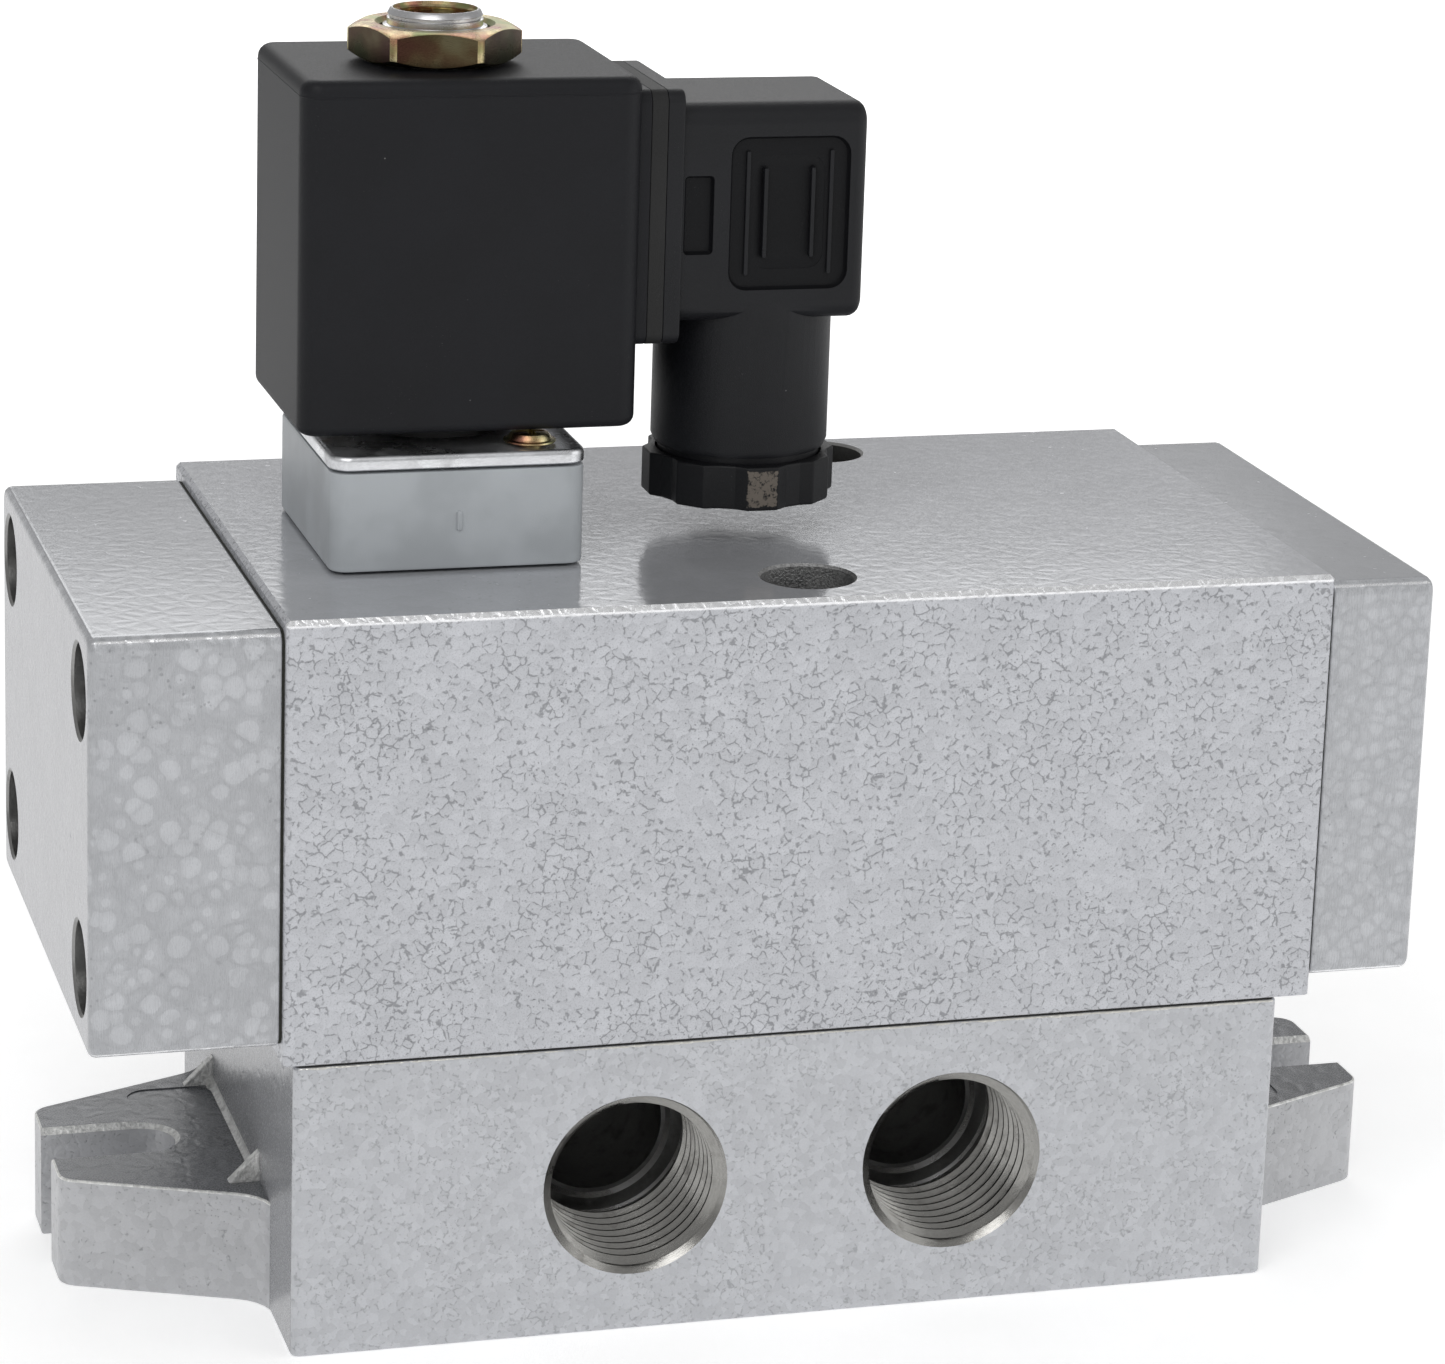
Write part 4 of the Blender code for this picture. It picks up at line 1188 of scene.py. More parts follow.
def dress(
    piece: bpy.types.Object, finish: Finish, wanted: Callable[[Vector, Vector], bool],
    only: Optional[Finish] = None
) -> None:
    """Gives chosen faces of a piece a finish of their own.

    Args:
        piece: the piece.
        finish: the finish.
        wanted: tells from a face's middle, in millimetres, and its normal whether it gets the finish.
        only: the finish that a face must have before, or None for any.
    """
    data = piece.data
    data.materials.append(finish.material())
    for face in data.polygons:
        if only and data.materials[face.material_index].name != only.name:
            continue
        if wanted(face.center / MM, face.normal):
            face.material_index = len(data.materials) - 1


def drill(
    name: str, axis: Axis, centre: Pair, start: float, end: float, radius: float, finish: Finish,
    mouth: float = 0.0
) -> bpy.types.Object:
    """Makes the tool for a plain round hole.

    Args:
        name: the tool's name.
        axis: the hole's axis.
        centre: the axis's crosswise place.
        start: where the hole starts, at the piece's face.
        end: where it ends.
        radius: its radius.
        finish: the finish of its wall.
        mouth: the chamfer round its start.

    Returns:
        The tool, which stands one millimetre proud of the start.
    """
    out = 1.0 if start > end else -1.0
    profile = [(start + out, radius + mouth + (1.0 if mouth else 0.0))]
    if mouth:
        profile.append((start - out * mouth, radius))
    profile.append((end, radius))
    return solid(name, turned(axis, centre, profile, SMALL_SIDES), finish)


def slab(name: str, low: Triple, high: Triple, finish: Finish, radius: float = 0.0) -> bpy.types.Object:
    """Makes an upright block with rounded corners, as a tool.

    Args:
        name: the tool's name.
        low: its lowest corner.
        high: its highest corner.
        finish: the finish of its faces.
        radius: the radius of its four upright edges.

    Returns:
        The tool.
    """
    return solid(
        name, loft(Axis.Z, rectangle(low[:2], high[:2], radius), [(low[2], 0.0), (high[2], 0.0)]), finish
    )


def socket_screw(
    name: str, axis: Axis, centre: Pair, top: float, tip: float, direction: int, size: float = 6.0
) -> bpy.types.Object:
    """Makes a socket head cap screw with a knurled-looking round head and a drilled hexagon socket.

    Args:
        name: the screw's name.
        axis: its axis.
        centre: the axis's crosswise place.
        top: where its head ends.
        tip: where its shank ends.
        direction: the way its head faces along the axis, +1 or -1.
        size: its thread diameter.

    Returns:
        The screw.
    """
    head_r, head_h, flats, chamfer = 0.81 * size, 0.85 * size, 0.82 * size, 0.06 * size
    floor = top - direction * 0.55 * head_h
    profile = [
        (floor - direction * 0.1 * size, 0.04 * size),
        (floor, 0.34 * size),
        (floor, flats, Form.HEXAGON),
        (top - direction * chamfer, flats, Form.HEXAGON),
        (top, 0.51 * size),
        (top, head_r - 2 * chamfer),
        (top - direction * 0.3 * chamfer, head_r - 0.8 * chamfer),
        (top - direction * 2 * chamfer, head_r),
        (top - direction * head_h, head_r),
        (top - direction * head_h, 0.48 * size),
        (tip + direction * chamfer, 0.48 * size),
        (tip, 0.40 * size),
    ]
    return solid(name, turned(axis, centre, profile, SMALL_SIDES), DARK_STEEL)


@dataclass
class SpoolLine:
    """The spool's axis and the five air passages that meet it, which base plate and body share."""

    y: float = -1.0
    z: float = 60.0
    pitch: float = 18.6
    half_x: float = 4.5
    half_y: float = 8.0
    orders: tuple[int, ...] = (-2, -1, 0, 1, 2)

    @property
    def centre(self) -> Pair:
        """The axis's crosswise place."""
        return self.y, self.z

    def passages(self, bottom: float, top: float, finish: Finish) -> list[bpy.types.Object]:
        """Makes the tools for the upright passages.

        Args:
            bottom: where they start.
            top: where they end.
            finish: the finish of their walls.

        Returns:
            The five tools.
        """
        tools = []
        for order in self.orders:
            x = order * self.pitch
            low = (x - self.half_x, self.y - self.half_y, bottom)
            high = (x + self.half_x, self.y + self.half_y, top)
            tools.append(slab(f"tool_passage_{order + 3}", low, high, finish, 1.0))
        return tools


@dataclass
class BodyBolts:
    """The three bolts that hold the body on the base plate."""

    places: dict[str, Pair] = field(
        default_factory=lambda: {
            "front": (1.7, -26.7), "rear_left": (-17.2, 29.2), "rear_right": (19.8, 29.2)
        }
    )
    hole_r: float = 3.4
    tapped_r: float = 3.2
    well_r: float = 5.25

    def build(self) -> None:
        """Builds the bolts."""
        for label, place in self.places.items():
            node = f"body_bolt_{label}"
            low, high = span(node)
            bolt = socket_screw(f"socket_bolt_{label}", Axis.Z, place, high.z, low.z, 1)
            present(bolt, Body.ROOT, Slot.DARK_STEEL, node)

    def holes(self, start: float, end: float, radius: float) -> list[bpy.types.Object]:
        """Makes the tools for their plain holes.

        Args:
            start: the face that the holes start at.
            end: where they end.
            radius: their radius.

        Returns:
            The three tools.
        """
        places = self.places.items()
        return [
            drill(f"tool_bolt_{label}", Axis.Z, place, start, end, radius, BORED) for label, place in places
        ]


@dataclass
class BasePlate:
    """The cast base plate with its two slotted lugs and five threaded ports."""

    line: SpoolLine
    bolts: BodyBolts
    half_length: float = 57.5
    corner_r: float = 1.0
    rim: float = 0.3
    lug_height: float = 13.0
    lug_root: float = 20.5
    lug_tip: float = 11.0
    lug_fillet: float = 5.5
    lug_corner: float = 2.5
    lug_rim: float = 0.25
    slot_half: float = 4.2
    slot_x: float = 68.7
    seat_depth: float = 0.15
    gusset_y: float = 15.3
    gusset: float = 3.5
    fillet: float = 0.9
    port_z: float = 17.3
    mouth_r: float = 10.63
    sleeve_r: float = 10.95
    thread_depth: float = 15.5
    relief_r: float = 10.8
    relief_depth: float = 18.5
    bore_r: float = 8.0
    bore_depth: float = 38.0
    pitch: float = 1.814

    def __post_init__(self) -> None:
        """Reads the plate's box and makes the finishes that depend on it."""
        self.low, self.high = span("base_plate")
        block = ((-500.0, self.low.y, -500.0), (500.0, self.high.y, self.high.z))
        self.front = HammerPaint(
            "base_enamel", (0.52, 0.53, 0.555), 0.32, block=block, cell=0.95, unbroken=0.5, crack=0.36,
            crack_width=0.07,
            pinhole=0.4, tone=0.06, relief=0.03, wear_width=0.2, chips=0.09, bare=(0.80, 0.79, 0.74),
        )
        # the plate's end faces: the same enamel painted much darker than the front, a painted shade
        self.end = HammerPaint(
            "base_end_shaded_enamel", (0.30, 0.305, 0.32), 0.24, block=block, cell=2.2, unbroken=0.1, crack=0.3,
            pinhole=0.3,
            tone=0.03, relief=0.02, wear_width=0.35, chips=0.1, crack_colour=(0.2, 0.2, 0.21),
        )
        # lug tops: far darker than the lug sides, partly their own tone and partly a painted shade
        self.lug_top_shaded = HammerPaint(
            "lug_top_shaded_enamel", (0.165, 0.17, 0.18), 0.26, block=block, cell=2.6, unbroken=0.15, crack=0.3,
            pinhole=0.3,
            tone=0.10, relief=0.03, crack_colour=(0.05, 0.05, 0.055),
        )
        self.lug_side = HammerPaint(
            "lug_side_enamel", (0.48, 0.485, 0.50), 0.32, block=block, cell=1.1, unbroken=0.35, crack=0.5,
            pinhole=0.5, tone=0.06, relief=0.03,
        )
        # near-white bare metal on the lugs' sloped rims, fillets and gussets: partly chipped casting, partly a
        # painted glint
        self.chipped_and_glint = BareMetal(
            "chipped_edge_glint", (0.86, 0.86, 0.84), 0.35, size=0.6, lines=0.25, relief=0.12, dirt=0.55,
            dirt_colour=(0.20, 0.20, 0.20), metallic=0.3,
        )

    def build(self) -> None:
        """Builds the plate, the sleeves of its ports and the sheet on its joint face."""
        block = rectangle((-self.half_length, self.low.y), (self.half_length, self.high.y), self.corner_r)
        plate = solid(
            "base_casting", loft(Axis.Z, block, rims(0.0, self.high.z, 0.4, self.rim, 3)), self.front
        )
        combine(plate, [part for side in Side for part in self.lug_parts(side)], "UNION")
        tools = [tool for side in Side for tool in self.slot_tools(side)]
        pocket = (
            (-47.0, self.line.y - 12.3, self.high.z - 1.6), (47.0, self.line.y + 12.3, self.high.z + 1.0)
        )
        tools.append(slab("tool_gasket_pocket", *pocket, BORED, 1.5))
        combine(plate, tools)
        combine(plate, self.port_tools())
        combine(plate, self.line.passages(self.port_z, self.high.z + 1.0, BORED))
        combine(plate, self.bolts.holes(self.high.z, 20.0, self.bolts.tapped_r))
        end, top = self.half_length, self.lug_height
        dress(plate, self.lug_side, lambda at, to: abs(at.x) > end + 0.05, self.front)
        # the end faces take the darker end enamel, a painted shade
        dress(
            plate, self.end, lambda at, to: abs(at.x) > end - 0.05 and abs(to.x) > 0.9 and at.z > top,
            self.front
        )
        dress(plate, self.end, lambda at, to: abs(abs(at.x) - end) < 0.04 and abs(to.x) > 0.9, self.lug_side)
        # the lugs' upward faces take the dark top enamel, partly a painted shade
        dress(
            plate, self.lug_top_shaded, lambda at, to: abs(at.x) > end and to.z > 0.99 and at.z < top + 0.1,
            self.lug_side
        )
        # the lugs' sloped faces take the near-white bare finish, partly a painted glint
        dress(plate, self.chipped_and_glint, lambda at, to: abs(at.x) > end and 0.15 < to.z < 0.99, self.lug_side)
        present(plate, Body.ROOT, Slot.PAINT, "base_plate")
        self.build_sheet()

    def lug_parts(self, side: Side) -> list[bpy.types.Object]:
        """Makes one lug with the fillet and the two gussets at its root.

        Args:
            side: the end of the plate.

        Returns:
            The parts, which join on to the plate.
        """
        sign, name = side.value, side.name.lower()
        inner, face, tip = self.half_length - 2.0, self.half_length - 0.1, self.high.x
        wide = self.lug_root + 4.0
        half = [(inner, -wide, 0.0), (face, -wide, 0.0), (face, -self.lug_root, self.lug_fillet)]
        half.append((tip, -self.lug_tip, self.lug_corner))
        corners = half + [(x, -y, r) for x, y, r in reversed(half)]
        outline = rounded([(sign * x, y, r) for x, y, r in corners])
        layers = rims(0.0, self.lug_height, 0.4, self.lug_rim, 4)
        parts = [solid(f"tool_lug_{name}", loft(Axis.Z, outline, layers), self.lug_side)]
        top, reach = self.lug_height, self.fillet
        curve = arc((top + reach, self.half_length + reach), reach, 180, 270, 5)
        profile = [Vector((top - 0.5, self.half_length - 0.5)), Vector((top - 0.5, self.half_length + reach))]
        profile += curve + [Vector((top + reach, self.half_length - 0.5))]
        profile = [Vector((v.x, sign * v.y)) for v in profile]
        width = self.gusset_y + 0.4
        parts.append(
            solid(f"tool_fillet_{name}", loft(Axis.Y, profile, [(-width, 0.0), (width, 0.0)]), self.chipped_and_glint)
        )
        high, out = top + self.gusset, self.half_length + self.gusset
        web = [
            (top - 0.5, self.half_length - 0.5), (top - 0.5, out), (top + 0.1, out),
            (high, self.half_length + 0.1)
        ]
        web.append((high, self.half_length - 0.5))
        web_outline = [Vector((z, sign * x)) for z, x in web]
        for label, y in (("front", -self.gusset_y), ("back", self.gusset_y)):
            layers = rims(y - 0.65, y + 0.65, 0.2, 0.2, 2)
            parts.append(
                solid(f"tool_gusset_{name}_{label}", loft(Axis.Y, web_outline, layers), self.chipped_and_glint)
            )
        return parts

    def slot_tools(self, side: Side) -> list[bpy.types.Object]:
        """Makes the tools for one lug's open slot and the seat turned round it.

        Args:
            side: the end of the plate.

        Returns:
            The tools.
        """
        sign, name = side.value, side.name.lower()
        far = self.high.x + 5.0
        outline = arc((self.slot_x, 0.0), self.slot_half, 90, 270, 16)
        outline += [Vector((far, -self.slot_half)), Vector((far, self.slot_half))]
        outline = [Vector((sign * v.x, v.y)) for v in outline]
        layers = [(-1.0, 0.0), (self.lug_height - 0.7, 0.0), (self.lug_height + 0.3, -1.0)]
        reach = sorted((sign * (self.half_length + 0.6), sign * (self.slot_x - 0.5)))
        wide, top = self.gusset_y - 0.65, self.lug_height
        corners = ((reach[0], -wide, top - self.seat_depth), (reach[1], wide, top + 0.5))
        # the seat takes the dark lug top enamel, partly a painted shade
        seat = slab(f"tool_seat_{name}", *corners, self.lug_top_shaded, 2.5)
        return [seat, solid(f"tool_slot_{name}", loft(Axis.Z, outline, layers), self.lug_side)]

    def port_tools(self) -> list[bpy.types.Object]:
        """Builds the five threaded sleeves, and makes the tools for the holes behind them."""
        ports = {
            "a": (-1, True), "b": (1, True), "exhaust_a": (-2, False), "supply": (0, False),
            "exhaust_b": (2, False)
        }
        tools = []
        for label, (order, in_front) in ports.items():
            face, inward = (self.low.y, 1.0) if in_front else (self.high.y, -1.0)
            centre = (self.port_z, order * self.line.pitch)
            step = self.relief_depth
            depths = [
                (-1.0, self.sleeve_r), (self.thread_depth, self.sleeve_r), (self.thread_depth, self.relief_r)
            ]
            depths += [(step - 0.3, self.relief_r), (step, self.relief_r - 0.3), (step, self.bore_r + 1.0)]
            depths += [
                (step + 0.5, self.bore_r + 0.5), (step + 0.5, self.bore_r), (self.bore_depth, self.bore_r)
            ]
            profile = [(face + inward * depth, radius) for depth, radius in depths]
            tools.append(solid(f"tool_port_{label}", turned(Axis.Y, centre, profile), BORED))
            thread = ThreadedBore(
                Axis.Y, centre, face, inward, self.thread_depth, self.pitch, 9.35, 10.48, self.mouth_r,
                self.sleeve_r
            )
            dress(tools[-1], TURNED_STEEL, lambda at, to: 0.2 < abs(to.y) < 0.9)
            # the thread sleeves take the darkened aluminium, a painted shade in the ports
            sleeve = solid(f"port_thread_{label}", thread.mesh(), MACHINED_SHADED)
            dress(sleeve, self.front, lambda at, to: abs(to.y) > 0.98 and abs(at.y) > self.high.y - 0.05)
            present(sleeve, Body.ROOT, Slot.ALUMINIUM)
        return tools

    def build_sheet(self) -> None:
        """Builds the thin sheet that fills the joint under the body."""
        top = self.high.z
        low, high = (-self.half_length + 0.3, self.low.y + 0.25), (self.half_length - 0.3, self.high.y - 0.25)
        sheet = solid(
            "joint_sheet", loft(Axis.Z, rectangle(low, high, 0.8), [(top + 0.01, 0), (top + 0.29, 0)]), RUBBER
        )
        combine(sheet, self.line.passages(top - 1.0, top + 1.0, RUBBER))
        combine(sheet, self.bolts.holes(top + 1.0, top - 1.0, self.bolts.hole_r))
        present(sheet, Body.ROOT, Slot.BLACK_RUBBER)


@dataclass
class ValveBody:
    """The body with its spool bore, passages, bolt wells and tapped holes."""

    line: SpoolLine
    bolts: BodyBolts
    cap_screws: tuple[Pair, ...]
    corner_r: float = 0.5
    chamfer: float = 0.5
    well_floor: float = 66.0
    bore_r: float = 10.0
    groove_r: float = 13.0
    groove_half: float = 6.7
    passage_top: float = 56.0
    tapped_depth: float = 14.7

    def __post_init__(self) -> None:
        """Reads the body's box and makes the finishes that depend on it."""
        self.low, self.high = span("valve_body")
        block = ((-500.0, self.low.y, -500.0), (500.0, self.high.y, self.high.z))
        self.side = HammerPaint(
            "body_enamel", (0.535, 0.545, 0.575), 0.3, block=block, chips=0.05, wear_width=0.75
        )
        self.top = HammerPaint(
            "body_top_enamel", (0.53, 0.54, 0.565), 0.12, block=block, cell=2.4, unbroken=0.1, crack=0.12,
            pinhole=0.2,
            tone=0.015, wander=0.3, relief=0.006, wear_width=0.4, metallic=0.4,
        )

    def build(self) -> None:
        """Builds the body."""
        outline = rectangle(self.low.xy, self.high.xy, self.corner_r)
        body = solid(
            "body_casting", loft(Axis.Z, outline, rims(self.low.z, self.high.z, 0.12, self.chamfer, 1)),
            self.side
        )
        combine(
            body, [solid("tool_spool_bore", turned(Axis.X, self.line.centre, self.bore_profile()), BORED)]
        )
        combine(body, self.line.passages(self.low.z - 1.0, self.passage_top, BORED))
        combine(body, self.bolts.holes(self.high.z, self.low.z - 1.0, self.bolts.hole_r))
        wells = []
        for label, place in self.bolts.places.items():
            name, wall = f"tool_well_{label}", self.well_finish(label)
            wells.append(
                drill(name, Axis.Z, place, self.high.z, self.well_floor, self.bolts.well_r, wall, 0.3)
            )
        combine(body, wells)
        taps = []
        for face, inward in ((self.low.x, 1.0), (self.high.x, -1.0)):
            for k, place in enumerate(self.cap_screws):
                name, end = f"tool_tap_{inward:.0f}_{k}", face + inward * self.tapped_depth
                taps.append(drill(name, Axis.X, place, face, end, self.bolts.tapped_r, BORED))
        combine(body, taps)
        dress(body, self.top, lambda at, to: to.z > 0.99 and at.z > self.high.z - 0.1, self.side)
        present(body, Body.ROOT, Slot.PAINT, "valve_body")

    def well_finish(self, label: str) -> Finish:
        """Gives the finish of a bolt well's wall: the front one is left rough and bare."""
        return WELL_WALL if label == "front" else BORED

    def bore_profile(self) -> list[Pair]:
        """Lists the spool bore's profile, with a groove at each passage."""
        profile = [(self.low.x - 1.0, self.bore_r)]
        for order in self.line.orders:
            near, far = order * self.line.pitch - self.groove_half, order * self.line.pitch + self.groove_half
            profile += [(near, self.bore_r), (near, self.groove_r), (far, self.groove_r), (far, self.bore_r)]
        return profile + [(self.high.x + 1.0, self.bore_r)]


@dataclass
class EndCap:
    """One end cap with its stepped chamber, its four screws and the sheet in its joint."""

    side: Side
    line: SpoolLine
    screws: tuple[Pair, ...]
    finishes: tuple[Finish, Finish, Finish]  # of the upright sides, the top and the end face
    step_r: float
    chamber_r: float
    chamber_floor: float
    sink_floor: float
    corner_r: float = 1.6
    rim: float = 0.9
    sink_r: float = 5.2
    hole_r: float = 3.3

    def build(self) -> None:
        """Builds the cap, its screws and its sheet."""
        name = self.side.name.lower()
        low, high = span(f"{name}_cap")
        sign = self.side.value
        outer, inner = (low.x, high.x) if self.side is Side.LEFT else (high.x, low.x)
        outline = rectangle((low.y, low.z), (high.y, high.z), self.corner_r)
        flank, top, end = self.finishes
        cap = solid(
            f"{name}_cap_casting", loft(Axis.X, outline, rims(inner, outer, 0.25, self.rim, 3)), flank
        )
        step = inner + sign * 1.3
        profile = [(inner - sign, self.step_r), (step, self.step_r), (step, self.chamber_r)]
        profile.append((self.chamber_floor, self.chamber_r))
        tools = [solid("tool_chamber", turned(Axis.X, self.line.centre, profile), BORED)]
        for k, place in enumerate(self.screws):
            tools.append(drill(f"tool_hole_{k}", Axis.X, place, outer, inner - sign, self.hole_r, BORED))
        combine(cap, tools)
        sinks = []
        for k, place in enumerate(self.screws):
            sinks.append(
                drill(f"tool_sink_{k}", Axis.X, place, outer, self.sink_floor, self.sink_r, BORED, 0.3)
            )
        combine(cap, sinks)
        dress(cap, top, lambda at, to: to.z > 0.95, flank)
        dress(cap, end, lambda at, to: to.x * sign > 0.97 and abs(at.x - outer) < 0.1, flank)
        present(cap, Body.ROOT, Slot.PAINT, f"{name}_cap")
        self.build_screws(name)
        self.build_sheet(name, inner, outline)

    def build_screws(self, name: str) -> None:
        """Builds the cap's four screws."""
        for k, place in enumerate(self.screws, start=1):
            low, high = span(f"{name}_cap_screw_{k}")
            ends = (low.x, high.x) if self.side is Side.LEFT else (high.x, low.x)
            screw = socket_screw(f"{name}_socket_screw_{k}", Axis.X, place, *ends, self.side.value)
            present(screw, Body.ROOT, Slot.DARK_STEEL, f"{name}_cap_screw_{k}")

    def build_sheet(self, name: str, inner: float, outline: Outline) -> None:
        """Builds the sheet that shows as a line between cap and body.

        Args:
            name: the side's name.
            inner: where the cap's joint face is.
            outline: the cap's outline.
        """
        sign = self.side.value
        near, far = inner - sign * 0.01, inner - sign * 0.29
        sheet = solid(
            f"{name}_joint_sheet", loft(Axis.X, shrunk(outline, 0.15), [(near, 0.0), (far, 0.0)]), SHEET
        )
        tools = [drill("tool_sheet_bore", Axis.X, self.line.centre, far - sign, near + sign, 10.4, SHEET)]
        for k, place in enumerate(self.screws):
            tools.append(
                drill(f"tool_sheet_hole_{k}", Axis.X, place, far - sign, near + sign, self.hole_r, SHEET)
            )
        combine(sheet, tools)
        present(sheet, Body.ROOT, Slot.GREEN_RUBBER)


@dataclass
class PilotValve:
    """The pilot block under its clamp plate, with the armature tube and the coil's nut above."""

    axis: Pair
    nut_flats: float = 17.0
    nut_turn: float = math.radians(-10.4)
    tube_r: float = 5.8
    tube_bore_r: float = 4.6
    plate_rim: float = 0.6
    screw_offsets: tuple[Pair, ...] = ((8.9, -11.7), (-8.9, 11.7))
    block_finish: Finish = Moulding(
        "pilot_enamel", (0.43, 0.455, 0.475), 0.38, size=0.12, relief=0.008, dust=0.25,
        dust_colour=(0.12, 0.12, 0.12)
    )
    plate_finish: Finish = BareMetal(
        "zinc_plate", (0.80, 0.81, 0.83), 0.3, size=0.2, stretch=(3.0, 1.0, 1.0), dirt=0.25
    )
    tapped_finish: Finish = YellowZinc("golden_thread", roughness=0.3, bloom=2.0)
    # the nut's flats: zinc colour scaled far down, a painted dark reflection
    flats_dark_reflection: Finish = YellowZinc("zinc_flats_dark_reflection", roughness=0.2, bloom=7.0, depth=0.17)

    def build(self) -> None:
        """Builds the block, the plate, its screws, the tube and the nut."""
        self.build_block()
        self.build_plate()
        self.build_tube()
        self.build_nut()

    def build_block(self) -> None:
        """Builds the pilot block with the small raised tick on its front."""
        low, high = span("pilot_block")
        outline = rectangle(low.xy, high.xy, 2.0)
        block = solid(
            "pilot_casting", loft(Axis.Z, outline, rims(low.z, high.z, 0.3, 0.3, 2)), self.block_finish
        )
        tick = rectangle((self.axis[0] - 0.1, 89.3), (self.axis[0] + 0.5, 91.5), 0.25)
        tick = [Vector((v.y, v.x)) for v in tick]
        layers = rims(low.y + 0.5, low.y - 0.25, 0.0, 0.15, 2)
        combine(block, [solid("tool_tick", loft(Axis.Y, tick, layers), self.block_finish)], "UNION")
        recess = [(high.z + 1.0, 8.8), (92.6, 8.8), (92.6, 2.9), (low.z + 1.0, 2.9)]
        tools = [solid("tool_recess", turned(Axis.Z, self.axis, recess, SMALL_SIDES), BORED)]
        tools.append(drill("tool_pilot_gasket", Axis.Z, self.axis, low.z, low.z + 1.5, 9.3, BORED))
        for k, place in enumerate(self.screw_places()):
            tools.append(drill(f"tool_pilot_hole_{k}", Axis.Z, place, high.z, 86.5, 1.8, BORED))
        combine(block, tools)
        present(block, Body.ROOT, Slot.GREY_MOULDING, "pilot_block")

    def screw_places(self) -> list[Pair]:
        """Lists the plate screws' places."""
        return [(self.axis[0] + dx, self.axis[1] + dy) for dx, dy in self.screw_offsets]

    def build_plate(self) -> None:
        """Builds the clamp plate with its rolled edge, and its two cross-recessed screws."""
        low, high = span("clamp_plate")
        layers = rims(low.z, high.z, 0.2, self.plate_rim, 4)
        plate = solid("clamp_sheet", loft(Axis.Z, rectangle(low.xy, high.xy, 2.4), layers), self.plate_finish)
        tools = [
            drill(
                "tool_plate_bore", Axis.Z, self.axis, high.z, low.z - 1.0, self.tube_r + 0.5, self.plate_finish
            )
        ]
        for k, place in enumerate(self.screw_places()):
            tools.append(
                drill(f"tool_plate_hole_{k}", Axis.Z, place, high.z, low.z - 1.0, 1.9, self.plate_finish)
            )
        combine(plate, tools)
        present(plate, Body.ROOT, Slot.ZINC_STEEL, "clamp_plate")
        for k, (x, y) in enumerate(self.screw_places(), start=1):
            low, high = span(f"plate_screw_{k}")
            top, seat = high.z, 98.3
            profile = [
                (top, 0.9), (top - 0.03, 1.5), (top - 0.16, 2.05), (top - 0.5, 2.35), (top - 0.8, 2.45)
            ]
            profile += [(top - 0.9, 2.9), (seat + 0.05, 2.95), (seat, 2.9), (seat, 1.45), (low.z + 0.4, 1.45)]
            profile.append((low.z, 1.0))
            screw = solid(f"cross_screw_{k}", turned(Axis.Z, (x, y), profile, SMALL_SIDES), YELLOW)
            tools = []
            for label, (wide, deep) in (("a", (1.7, 0.42)), ("b", (0.42, 1.7))):
                corners = ((x - wide, y - deep, top - 0.7), (x + wide, y + deep, top + 1.0))
                tools.append(slab(f"tool_cross_{label}", *corners, YELLOW, 0.1))
            combine(screw, tools)
            present(screw, Body.ROOT, Slot.YELLOW_ZINC, f"plate_screw_{k}")

    def build_tube(self) -> None:
        """Builds the armature tube, with a groove round its top and a tapped mouth."""
        low, high = span("armature_tube")
        top, outer, inner = high.z, self.tube_r, self.tube_bore_r
        profile = [(low.z, inner), (low.z, 8.4), (low.z + 1.5, 8.4), (low.z + 1.5, outer)]
        profile += [
            (top - 1.9, outer), (top - 1.75, outer - 0.45), (top - 1.1, outer - 0.45),
            (top - 1.0, outer - 0.7)
        ]
        profile += [(top - 0.75, outer - 0.7), (top - 0.65, outer - 0.5), (top - 0.15, outer - 0.75)]
        profile += [(top, outer - 0.95), (top, inner + 0.1)]
        pitch, turns = 0.7, 11
        for k in range(turns):
            start = top - 0.35 - k * pitch
            profile += [
                (start, inner), (start - 0.2, inner - 0.25), (start - 0.35, inner - 0.25),
                (start - 0.55, inner)
            ]
        tube = solid("tube", turned(Axis.Z, self.axis, profile, closed=True), TURNED_STEEL)
        centre = Vector(self.axis)
        dress(tube, self.tapped_finish, lambda at, to: at.z > top - 8.5 and to.xy.dot(centre - at.xy) > 0.01)
        present(tube, Body.ROOT, Slot.STEEL, "armature_tube")

    def build_nut(self) -> None:
        """Builds the chamfered hexagon nut on the coil."""
        low, high = span("coil_nut")
        bottom, top = low.z, high.z
        corner_r = self.nut_flats / 2 / math.cos(math.pi / 6)
        turns = [k * math.pi / 3 + self.nut_turn for k in range(6)]
        corners = [
            (self.axis[0] + corner_r * math.cos(t), self.axis[1] + corner_r * math.sin(t), 0.9) for t in turns
        ]
        nut = solid("hexagon_nut", loft(Axis.Z, rounded(corners), [(bottom, 0.0), (top, 0.0)]), YELLOW)
        cone = [
            (bottom - 0.5, 7.5), (bottom, 8.2), (bottom + 1.0, 10.0), (top - 1.0, 10.0), (top, 8.2),
            (top + 0.5, 7.5)
        ]
        combine(nut, [solid("tool_nut_cone", turned(Axis.Z, self.axis, cone, 96), YELLOW)], "INTERSECT")
        bore = [(top + 1.0, 7.7), (top - 0.5, 6.2), (bottom + 0.4, 6.2), (bottom - 1.0, 7.6)]
        combine(nut, [solid("tool_nut_bore", turned(Axis.Z, self.axis, bore), YELLOW)])
        faces = [Vector((math.cos(t + math.pi / 6), math.sin(t + math.pi / 6))) for t in turns]
        # the six flats take the darkened zinc, a painted dark reflection
        dress(nut, self.flats_dark_reflection, lambda at, to: any(to.xy.dot(face) > 0.999 for face in faces))
        present(nut, Body.ROOT, Slot.YELLOW_ZINC, "coil_nut")


